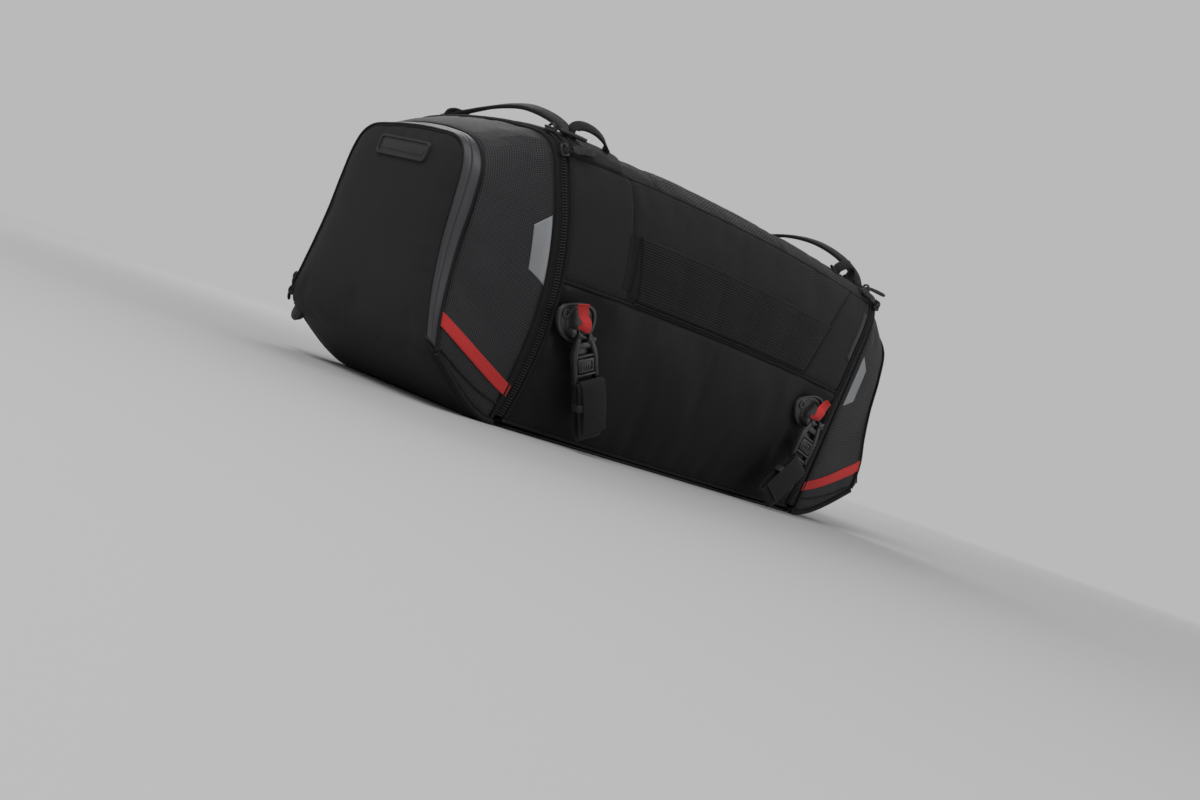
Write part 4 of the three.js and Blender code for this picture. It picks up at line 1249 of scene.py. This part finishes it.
def add_cover(place, end):
    """The pressed, padded face of the pocket and the underside below it, in one piece of cloth."""
    rows, columns = COVER_CELLS
    t, q = np.meshgrid(np.linspace(0, 1, rows), np.linspace(-1, 1, columns), indexing="ij")
    below = cover_underside(end, q, np.clip(t / UNDERSIDE_SHARE, 0, 1))
    above = cover_face(end, q, np.clip((t - UNDERSIDE_SHARE) / (1 - UNDERSIDE_SHARE), 0, 1))
    p = np.where((t < UNDERSIDE_SHARE)[..., None], below, above)
    turn = np.exp(-(((t - UNDERSIDE_SHARE) / 0.05) ** 2))[..., None]
    for _ in range(2):  # ease the turn from the underside to the face
        eased = p.copy()
        eased[1:-1] = (p[:-2] + 2 * p[1:-1] + p[2:]) / 4
        p = lerp(p, eased, turn)
    centre = np.array([0, 0, 140.0])
    p = relax(f"{place}_cover", p, grid_normals(p, centre), 1.2, 0.002, 1.5)
    ta, qa = stops(COVER_SIZE[0], 3.2), stops(COVER_SIZE[1], 3.6)
    p = resample(p, ta, qa)
    normals = grid_normals(p, centre)
    border = np.concatenate([p[0], p[:, -1], p[-1, ::-1], p[::-1, 0]])
    distance = np.min(np.linalg.norm(p[:, :, None] - border[None, None], axis=-1), axis=2)
    rise = 1.2 * smooth(distance / 20) - rolled(distance, 3.6, 6.5)
    rise = rise + 0.15 * ripples(p, 90, 51) * smooth(distance / 12)
    low = ta[:, None] * COVER_SIZE[0]
    rise = np.where(low < 12, lerp(-0.2, rise, smooth(low / 12)), rise)
    p = p + normals * rise[..., None]
    uv = np.stack(np.broadcast_arrays(p[..., 1], along(p[:, p.shape[1] // 2])[:, None]), -1)
    SKIN.add(p)
    build = Build()
    build.sheet(p, uv, 3.6, 0, 1, normals)
    piece = build.done(f"{place}_pocket_cover", [FACE, LINING])
    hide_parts(f"{place}_pocket_face", f"{place}_hatch_underside")
    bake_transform(piece)


# The pocket band's halves: where each starts and stops, its piping's place and radius, and its body.
BAND_HALVES = {
    "outer": ((0.02, 0.505), 0.0, 1.25, "hatch"),
    "inner": ((0.512, 0.97), 0.985, 0.9, "pocket_lid"),
}


def add_pocket_band(place, end):
    """The coated zip tape round the pocket, in two halves that meet at a fine line, piped on each side."""
    w = np.linspace(-0.995, 0.995, 190)
    for name, (reach, piping_at, radius, body) in BAND_HALVES.items():
        build = Build()
        k = np.linspace(*reach, 8)
        p = band_at(end, *np.meshgrid(k, w, indexing="ij"))
        normals = grid_normals(p, np.array([end * 150, 0, 130.0]))
        bulge = 1.2 * np.sin(np.pi * (k - 0.02) / 0.95) ** 0.7
        groove = -0.2 * np.exp(-(((k - 0.508) / 0.03) ** 2))
        p = p + normals * (bulge + groove)[:, None, None]
        uv = np.stack(np.broadcast_arrays(along(p[3])[None, :], (k * 17)[:, None]), -1)
        build.sheet(p, uv, 2.2, 0, 1, normals)
        rim = band_at(end, np.full_like(w, piping_at), w)
        build.tube(rim + outward(w) * 0.3 + np.array([end * 0.3, 0, 0]), radius, slot=2)
        build.done(f"{place}_band_{name}", [BAND, LINING, PIPING], f"{place}_{body}", "band",
                   [f"{place}_pocket_band"] if name == "outer" else [])


def add_garage(place, end):
    """The zip garage: a moulded bump that the sliders park against, at the band's rear lower end."""
    at = band_at(end, 0.5, 1.0) + np.array([-end * 8.0, -5.0, -12.0])
    spot = placed(at, (0, 1, 0.35), (0, -0.35, 1), (end, 0.5, -0.6))
    build = Build()
    build.prism(rounded(15, 17, 6), spot, -4.5, 3.0, bevel=1.8)
    build.prism(rounded(9, 11, 4), spot, 2.4, 3.8, bevel=0.6)
    build.done(f"{place}_zip_garage", [RUBBER], f"{place}_hatch", "band")


LINING_X, LINING_FOOT = 240, 33
LINING_CELLS = (61, 24)


def add_pocket_back(place, end):
    """The lining that closes the pocket off from the main compartment."""
    w = np.linspace(0, 0.93, 80)
    v, _ = section(w)
    c = (LINING_X - ZIP_LINE(v)[..., 0]) / (RIM_LINE(v)[..., 0] - ZIP_LINE(v)[..., 0])
    rim = hatch_at(1, c, w) - outward(w) * 7.6
    across, upward = LINING_CELLS
    y = np.sin(np.linspace(-1, 1, across) * np.pi / 2) * rim[:, 1].max()
    top = np.interp(np.abs(y), np.maximum.accumulate(rim[:, 1]), rim[:, 2])
    z = lerp(LINING_FOOT, top[:, None], np.linspace(0, 1, upward))
    y = np.broadcast_to(y[:, None], z.shape)
    slack = np.sin(np.linspace(0, np.pi, upward))
    x = end * (LINING_X + 1.2 + 1.2 * np.sin(y / 23) * np.sin(z / 31) * slack)
    p = np.stack([x, y, z], -1)
    normals = np.broadcast_to(np.array([end, 0.0, 0.0]), p.shape)
    build = Build()
    build.sheet(p, p[..., 1:], 1.6, normals=normals)
    build.done(f"{place}_pocket_lining", [LINING], f"{place}_hatch", "lining", [f"{place}_pocket_back"])


# Points on the left pocket's face: the middle of the patch, its two ends, and below and above it.
BADGE_SPOTS = [(-290, -4, 196.5), (-290, -34, 195.7), (-290, 26, 197.3), (-290, -4, 190.5), (-290, -4, 202.5)]


def add_badge():
    """A blank rubber patch with a raised border, sewn on the left pocket's face."""
    build = Build()
    middle, left, right, low, high = SKIN.on(np.array(BADGE_SPOTS), np.array([-1.0, 0, 0]))
    across, up = unit(left - right), unit(high - low)
    place = placed(middle, across, square_to(across, up))
    outer = rounded(80, 17.5, 4.5)
    build.prism(outer, place, -1.6, 0.9, bevel=0.5)
    build.prism(outer, place, 0.6, 1.9, bevel=0.5, inner=rounded(75.5, 13, 3.0))
    build.prism(rounded(69, 7.5, 2.5), place, 0.6, 1.35, bevel=0.3)
    path = dense(moved(closed_loop(rounded(77.7, 15.2, 3.8), 1.9), place), 2)
    build.stitches(path, (-1, 0, 0), pitch=2.6, length=1.9, radius=0.25, slot=1, lift=0.0)
    build.done("face_badge", [RUBBER, THREAD], "left_pocket_lid", "plastic")


# ---------------------------------------------------------------- sliders and pulls


def skin_frame(point, ahead, out):
    """Origin on the skin with Y along the zip, Z out of the skin and X across."""
    forward = unit(ahead - point)
    normal = square_to(forward, np.asarray(out, float))
    return placed(point, np.cross(forward, normal), forward, normal)


def slider(build, place, width, length, lift, arch_height=3.0):
    """A zip slider: a waisted body with side flanges, and the bridge that carries the pull."""
    half, long = width / 2, length / 2
    right = [(half * 0.62, -long), (half, -long * 0.2), (half, long * 0.75), (half * 0.7, long)]
    body = [(-half * 0.62, -long), *right, *((-x, y) for x, y in right[:0:-1])]
    build.prism(body, place, lift, lift + 1.5, bevel=0.5)
    build.prism([(x * 0.86, y * 0.9) for x, y in body], place, lift - 2.2, lift + 0.6, bevel=0.4)
    t = np.linspace(0, np.pi, 9)
    arch = np.stack([0 * t, -np.cos(t) * long * 0.72, lift + 1.2 + np.sin(t) * arch_height], -1)
    build.tube(moved(arch, place), 0.95, near=place[:3, 0], flat=1.3)


def pull(build, place, start, length, width, lift):
    """A moulded pull on a short loop of cord."""
    t = np.linspace(0, np.pi, 9)
    loop = np.stack([np.cos(t) * width * 0.28, -start + 3.5 - np.sin(t) * 5.5 + 1.0, lift + 1.4 + 0 * t], -1)
    build.tube(moved(loop, place), 0.8, near=place[:3, 2], slot=1)
    y = np.array([0, 2.5, 6, length * 0.5, length - 5, length - 2, length])
    half = np.array([0.30, 0.42, 0.47, 0.40, 0.5, 0.46, 0.26]) * width
    outline = np.concatenate([np.stack([-half, -start - y], -1), np.stack([half, -start - y], -1)[::-1]])
    build.prism(outline, place, lift, lift + 3.0, bevel=0.9)
    for at in -start - length * np.linspace(0.35, 0.78, 5):
        build.blocks([(width * 0.3, at - 0.5, at + 0.5, lift + 2.6, lift + 3.45, 0.3)], place)


# Each slider's place on the zip, the place ahead that it points to, its lean, and its pull's turn.
MAIN_SLIDERS = (
    ("flank", -0.325, -0.45, 0.14, {"left": -math.pi / 2, "right": math.pi / 2}),
    ("top", -0.2, -0.12, 0.0, {"left": math.pi * 0.3, "right": math.pi / 2}),
)
SLIDER_LIFT = 3.7


def add_main_sliders(place, end):
    for name, w, ahead, lean, turns in MAIN_SLIDERS:
        out = outward(w)
        out[0] = end * lean
        spot = skin_frame(hatch_at(end, 0, w), hatch_at(end, 0, ahead), out)
        build = Build()
        slider(build, spot, 9, 11, SLIDER_LIFT)
        build.done(f"{place}_{name}_zip_slider_body", [LACQUER], f"{place}_{name}_zip_slider", "metal",
                   [f"{place}_{name}_slider"])
        c, s = math.cos(turns[place]), math.sin(turns[place])
        x, y, out, origin = spot[:3].T
        build = Build()
        turned = placed(origin, x * c + y * s, y * c - x * s, out)
        pull(build, turned, 7.5, 24, 7.6, SLIDER_LIFT + 0.8)
        build.done(f"{place}_{name}_zip_pull_tag", [RUBBER, PIPING], f"{place}_{name}_zip_pull", "plastic",
                   [f"{place}_{name}_pull"])


PULL_LOOP = [(-1.6, -3.5, 4.2), (-2.6, -6.5, 3.2), (-1.2, -9, 2.2),
             (1.2, -9, 2.2), (2.6, -6.5, 3.2), (1.6, -3.5, 4.2)]


def add_pocket_sliders(place, end):
    for name, w in (("lower", 0.982), ("upper", 0.925)):
        out = outward(w) * 0.72
        out[0] = end * 0.69
        spot = skin_frame(band_at(end, 0.45, w), band_at(end, 0.45, 0.78), out)
        build = Build()
        slider(build, spot, 7.5, 9, 2.5, arch_height=1.7)
        build.tube(moved(dense(PULL_LOOP, 1.5), spot), 0.8, near=spot[:3, 2], slot=1)
        build.done(f"{place}_{name}_pocket_zip_slider", [LACQUER, PIPING], f"{place}_pocket_zip_{name}",
                   "metal", [f"{place}_pocket_slider_{name}"])


# ---------------------------------------------------------------- handles and loops


def curve(points, count=48):
    """A smooth path through a few points."""
    return Line(points)(np.linspace(0, 1, count))


HANDLE_X = 208
TOP_LENGTH = 225  # half the top's length, where the handles are
# The handles' grips, as y and z, from the front foot to the rear one: each lies down where z is None.
GRIPS = {
    "left": ((-99, None), (-92, 254), (-80, 259.5), (-62, 265), (-30, 270.5), (0, 270), (29, 266.5),
             (52, 262.5), (70, 258.8), (86, None), (99, None)),
    "right": ((-99, None), (-90, 258), (-66, 272), (-30, 283), (4, 286), (36, 283.5), (64, 275), (86, 261),
              (99, None)),
}
GRIP_TILT = {"left": 0.55, "right": 0.3}
# A foot's stitches: round its edge, and then a cross.
FOOT_STITCHES = [(-4.8, 93), (4.8, 93), (4.8, 108), (-4.8, 108),
                 (-4.8, 93), (4.8, 108), (4.8, 93), (-4.8, 108)]


def top_height(x, y):
    """How high the top's cloth is at x and y."""
    w = np.linspace(0, 1 - SEAM, 200)
    line = body_at(np.full_like(w, x / TOP_LENGTH), w)
    nominal = np.array([[x, y, np.interp(abs(y), line[:, 1], line[:, 2])]])
    return float(nominal[0, 2] + SKIN.height(nominal, np.array([0, 0, 1.0]))[0])


def add_handle(place, end):
    """A webbing handle folded double over its grip and spread flat at its sewn feet."""
    x = HANDLE_X * end
    build = Build()
    path = curve([(x, y, top_height(x, y) + 1.7 if z is None else z) for y, z in GRIPS[place]], 70)
    grip = np.sin(np.pi * np.linspace(0, 1, 70))[:, None] ** 0.5
    tilt = np.array([1, 0, 0]) + grip * np.array([0, 0, GRIP_TILT[place]])
    build.strap(path, tilt, 12.5, 3.2)
    over = np.cross(unit(np.gradient(path, axis=0)), unit(tilt))
    over *= np.sign(over[:, 2:])
    for offset in (-4.6, 4.6):
        build.stitches((path + unit(tilt) * offset + over * 1.65)[4:-4], over[4:-4], slot=1)
    build.done(f"{place}_handle_webbing", [WEBBING, THREAD], f"{place}_handle_strap", "webbing",
               [f"{place}_handle"])

    build = Build()
    s = HANDLE_X / TOP_LENGTH * end
    for side in SIDES.values():
        def down_from_top(y):
            return side * np.interp(np.abs(y), [0, 55, 103, 116], [0, 1 / 9, 2 / 9, 3 / 9])

        foot, _ = on_body(np.full(4, s), down_from_top(np.array([90, 97, 104, 111])), 0.9)
        build.strap(dense(foot, 2), (1, 0, 0), 13, 1.6)
        across, y = dense(FOOT_STITCHES, 2).T
        path, out = on_body(s + across / TOP_LENGTH, down_from_top(y), 1.8)
        build.stitches(path, out, pitch=2.6, length=2.0, slot=1)
    build.done(f"{place}_handle_feet", [WEBBING, THREAD], "bag", "webbing")


def add_loop(place, side, end):
    """A short loop of webbing for lashing, standing on the top's corner."""
    x, y, foot = 182 * end, 100 * side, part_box(f"{place}_loop")[0].z / MM
    skew = 1 if end < 0 else 0.35
    points = [(24 * skew - 4, 0, -3.5), (22 * skew, 0, -1.2), (25 * skew, 0, 4.5), (19 * skew, 0, 9.5),
              (5 * skew, 0.8, 11), (-8, 1.2, 7.5), (-14, 1.0, 2.8), (-15.5, 0, -0.5), (-21, 0, -1.0)]
    build = Build()
    path = curve([(x + end * ahead, y + side * outer, foot + up) for ahead, outer, up in points], 44)
    build.strap(path, (0, 1, -0.9 * side), 10.5, 2.2)
    build.done(f"{place}_loop_webbing", [WEBBING], "bag", "webbing", [f"{place}_loop"])


# ---------------------------------------------------------------- hold-downs

ANCHOR_X, ANCHOR_Z = 160, 105
BAR_Z = 94
# How far each hook, and the strap below it, leans inboard.
LEAN = {"front_left": 0.47, "front_right": 0.2, "rear_left": 0.3, "rear_right": 0.3}
STRAP_LEAN = {"front_left": 0.47, "front_right": 0.6, "rear_left": 0.3, "rear_right": 0.3}
HOOK_LENGTH = 40
PLATE = [(-26, 9.5), (-15, 14), (-4, 16.5), (7, 14.5), (12, 6), (12, -5), (8, -15), (-4, -18.5), (-15, -17),
         (-23.5, -12), (-28.5, -4), (-29.5, 4)]
HOLLOW = [(-12, 9), (-2, 10), (6, 5), (6, -6), (-4, -12), (-13, -9), (-16, 1)]
HOOK_ARM = [(4.5, 3.2), (7.6, 1.8), (9.3, -4), (12.4, -12), (13, -17), (13, -39.5), (9.4, -39.5), (9.0, -19),
            (7.4, -12), (5.4, -5), (4.2, -2)]


def round_outline(points, count):
    """A smooth closed outline through a few corners."""
    return curve([(x, y, 0) for x, y in (*points, points[0])], count + 1)[:-1, :2]


def add_anchor(place, side, end):
    """The moulded plate on the bag's side: a raised rim, a screw, and a bar for the hook to turn on."""
    lo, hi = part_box(f"{place}_anchor")
    back = (hi.y if side < 0 else lo.y) / MM
    spot = placed((ANCHOR_X * end, back, ANCHOR_Z), (-side, 0, 0), (0, 0, 1), (0, side, 0))
    outline = round_outline(PLATE, 56)
    hollow = round_outline(HOLLOW, 32)
    build = Build()
    build.prism(outline, spot, 0.0, 2.6, bevel=0.8)
    build.prism(outline, spot, 1.6, 4.2, bevel=0.9, inner=lerp(outline.mean(0), outline, 0.84))
    build.prism(hollow * 1.18, spot, 2.2, 3.6, bevel=0.6, inner=hollow)
    screw = placed(moved([-20.5, 3.0, 0], spot), spot[:3, 0], spot[:3, 1], spot[:3, 2])
    build.prism(circle(4.3, 24), screw, 2.2, 3.9, bevel=0.7, inner=circle(1.9, 24))
    build.prism(circle(2.2, 6), screw, 2.2, 2.9, bevel=0.2, slot=1)
    bar = dense([(-12.5, BAR_Z - ANCHOR_Z, 8.7), (12.5, BAR_Z - ANCHOR_Z, 8.7)], 2)
    build.tube(moved(bar, spot), 1.95, near=spot[:3, 2], sides=14)
    for at in (-11.4, 11.4):
        low, high = BAR_Z - ANCHOR_Z - 3.2, BAR_Z - ANCHOR_Z + 3.4
        ear = [(at - 1.7, low), (at + 1.7, low), (at + 1.7, high), (at - 1.7, high)]
        build.prism(ear, spot, 1.6, 10.6, bevel=0.7)
    build.done(f"{place}_anchor_plate", [PLASTIC, LACQUER], "bag", "plastic", [f"{place}_anchor"])


def leaning(angle):
    """Across and down, for something that leans by that angle in the plane of the bag's side."""
    return np.array([math.cos(angle), 0, -math.sin(angle)]), np.array([-math.sin(angle), 0, -math.cos(angle)])


def add_hook(place, side, end):
    """The hook buckle, its release button, and the webbing strap folded through it."""
    lo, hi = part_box(f"{place}_anchor")
    bar_y = (lo.y if side < 0 else hi.y) / MM - side * 2.0
    origin = (ANCHOR_X * end, bar_y, BAR_Z)
    across, down = leaning(LEAN[place] * end)
    spot = placed(origin, across, -down, (0, side, 0))
    if side > 0:
        spot[:3, 0] *= -1  # keeps the axes right-handed
    eye = placed(origin, (0, side, 0), (0, 0, 1), (1, 0, 0))
    build = Build()
    for flip in (1, -1):
        build.prism([(x * flip, y) for x, y in HOOK_ARM], spot, -3.0, 3.2, bevel=0.9)
    for at in (-8, 3.5):
        build.prism(circle(4.1, 20), eye, at, at + 4.5, bevel=0.6, inner=circle(2.4, 20))
    build.prism([(-6, -4.2), (6, -4.2), (7.6, -9.5), (-7.6, -9.5)], spot, -2.4, 2.2, bevel=0.7)
    build.blocks(((9.6, -15, -17.3, -2.6, 2.6, 0.6), (9.6, -31, -33.2, -2.8, 3.4, 0.7),
                  (9.6, -37, -40, -2.8, 2.8, 0.9), (9.6, -9, -31, -3.0, -2.0, 0.3)), spot)
    build.done(f"{place}_hook_buckle", [PLASTIC], f"{place}_buckle", "plastic", [f"{place}_hook"])

    build = Build()
    build.blocks([(8.2, -18.2, -30.2, -1.8, 3.6, 1.0)], spot)
    middle = (0, -24.2)
    build.prism(rounded(13, 9, 1.6, centre=middle), spot, 3.2, 4.5, bevel=0.4,
                inner=rounded(10.6, 6.6, 1.0, centre=middle))
    for at in (-2.4, 0, 2.4):
        rib = [(at - 0.55, -26.4), (at + 0.55, -26.4), (at + 0.55, -22), (at - 0.55, -22)]
        build.prism(rib, spot, 3.2, 4.2, bevel=0.25)
    build.done(f"{place}_release_button", [PLASTIC], f"{place}_button", "plastic", [f"{place}_release"])
    add_strap(place, side, end, spot)
    add_pull_tab(place, side, end)


# The strap seen from its edge, as how far down and how far out: the doubled strap, and then the fold of its
# tail, which also gives how far across.
STRAP_RUN = [(16, 0.6), (5, 1.2), (-1.0, 2.6), (-1.6, 4.6), (3, 5.6), (14, 5.2), (26, 4.2), (38, 4.0),
             (45.5, 2.8), (48.4, 0), (45.5, -2.8), (38, -4.0), (29, -4.0), (16, -2.4), (6, -1.6),
             (-1.5, -0.8)]
TAIL_FOLD = [(42, 6.0, 3), (34, 6.8, 3), (26, 7.9, 3), (14, 8.3, 3),
             (4, 8.1, 2.8), (-2.2, 6.7, 2.6), (-3.2, 3.6, 2.4), (-1.0, 1.4, 2.2)]


def add_strap(place, side, end, spot):
    """25 mm webbing: folded over the buckle's bar, its tail tucked in a keeper, its lower end an eye."""
    lean, turn = LEAN[place] * end, STRAP_LEAN[place] * end
    room = 0.5 + 13 * abs(math.sin(turn - lean))
    foot = spot[:3, 3] + (HOOK_LENGTH + room) * leaning(lean)[1] + np.array([0, side * 0.6, 0])
    across, down = leaning(turn)
    out = np.array([0, side, 0])

    def laid(points):
        """Points given as how far down the strap, how far out and how far across."""
        return np.array([foot + down * d + out * o + across * a for d, o, a in points])

    build = Build()
    build.strap(curve(laid([(d, o, 0) for d, o in STRAP_RUN]), 120), across, 25, 1.7)
    build.strap(curve(laid([(d, o, -end * a) for d, o, a in TAIL_FOLD]), 40), across, 24.5, 1.7)
    for at in (36.5, 39):
        line = laid([(at, 7.3, -end * 3 - 10.5), (at, 7.3, -end * 3 + 10.5)])
        build.stitches(dense(line, 2), out, pitch=2.6, length=2.0, slot=1)
    build.done(f"{place}_strap_webbing", [WEBBING, THREAD], f"{place}_buckle", "webbing", [f"{place}_strap"])

    build = Build()  # the keeper that holds the strap's tail
    keeper = placed(laid([(19, 1.1, -end * 0.8)])[0], across, -out, down)
    build.prism(rounded(28.2, 12.4, 3, steps=4), keeper, -3.2, 3.2, bevel=0.6,
                inner=rounded(26.2, 10.4, 2, steps=4))
    build.done(f"{place}_strap_keeper", [RUBBER], f"{place}_buckle", "plastic")


def add_pull_tab(place, side, end):
    """The red tab, folded over the bar and splayed where it rests on the plate."""
    lo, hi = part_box(f"{place}_pull_tab")
    x, y, low, high = (lo.x + hi.x) / 2 / MM - 3.5, (lo.y + hi.y) / 2 / MM, lo.z / MM, hi.z / MM
    tilt = 10.5 * end
    points = [(0, -1.2, low + 3), (0, 0.6, low - 0.4), (0.02, 2.6, low + 2.5), (0.12, 2.6, low + 6.5),
              (0.5, 0.9, low + 12), (0.85, 1.2, high - 4.0), (0.95, 2.2, high - 1.8)]
    path = curve([(x + tilt * share, y + side * out, z) for share, out, z in points], 40)
    width = np.interp(np.linspace(0, 1, 40), [0, 0.3, 1], [10.5, 11, 10.5])
    build = Build()
    build.strap(path, (1, 0, 0.12 * end), width, 1.4)
    for offset in (-3.8, 3.8):
        row = path[16:-3] + np.array([offset, side * 0.75, 0])
        build.stitches(row, (0, side, 0), pitch=2.4, length=1.8, radius=0.16, slot=1)
    build.done(f"{place}_red_tab", [RED, RED_THREAD], f"{place}_tab", "red_webbing", [f"{place}_pull_tab"])


# ---------------------------------------------------------------- the whole bag

add_camera()
add_studio()
add_base()
add_top_panel()
add_seams()
for place, side in SIDES.items():
    add_lower_panel(place, side)
    add_upper_panel(place, side)
    add_webbing_panel(place, side)
    add_tab_painted_shadow_and_cord(place, side)
add_label()
for place, end in ENDS.items():
    add_main_zip(place, end)
    add_hatch_cloth(place, end)
    for side_name, side in SIDES.items():
        add_hatch_trim(place, side_name, side, end)
    add_cover(place, end)
    add_pocket_band(place, end)
    add_garage(place, end)
    add_pocket_back(place, end)
    add_main_sliders(place, end)
    add_pocket_sliders(place, end)
    add_handle(place, end)
    for side_name, side in SIDES.items():
        corner = f"{side_name}_{place}"
        add_loop(corner, side, end)
        add_anchor(corner, side, end)
        add_hook(corner, side, end)
add_badge()
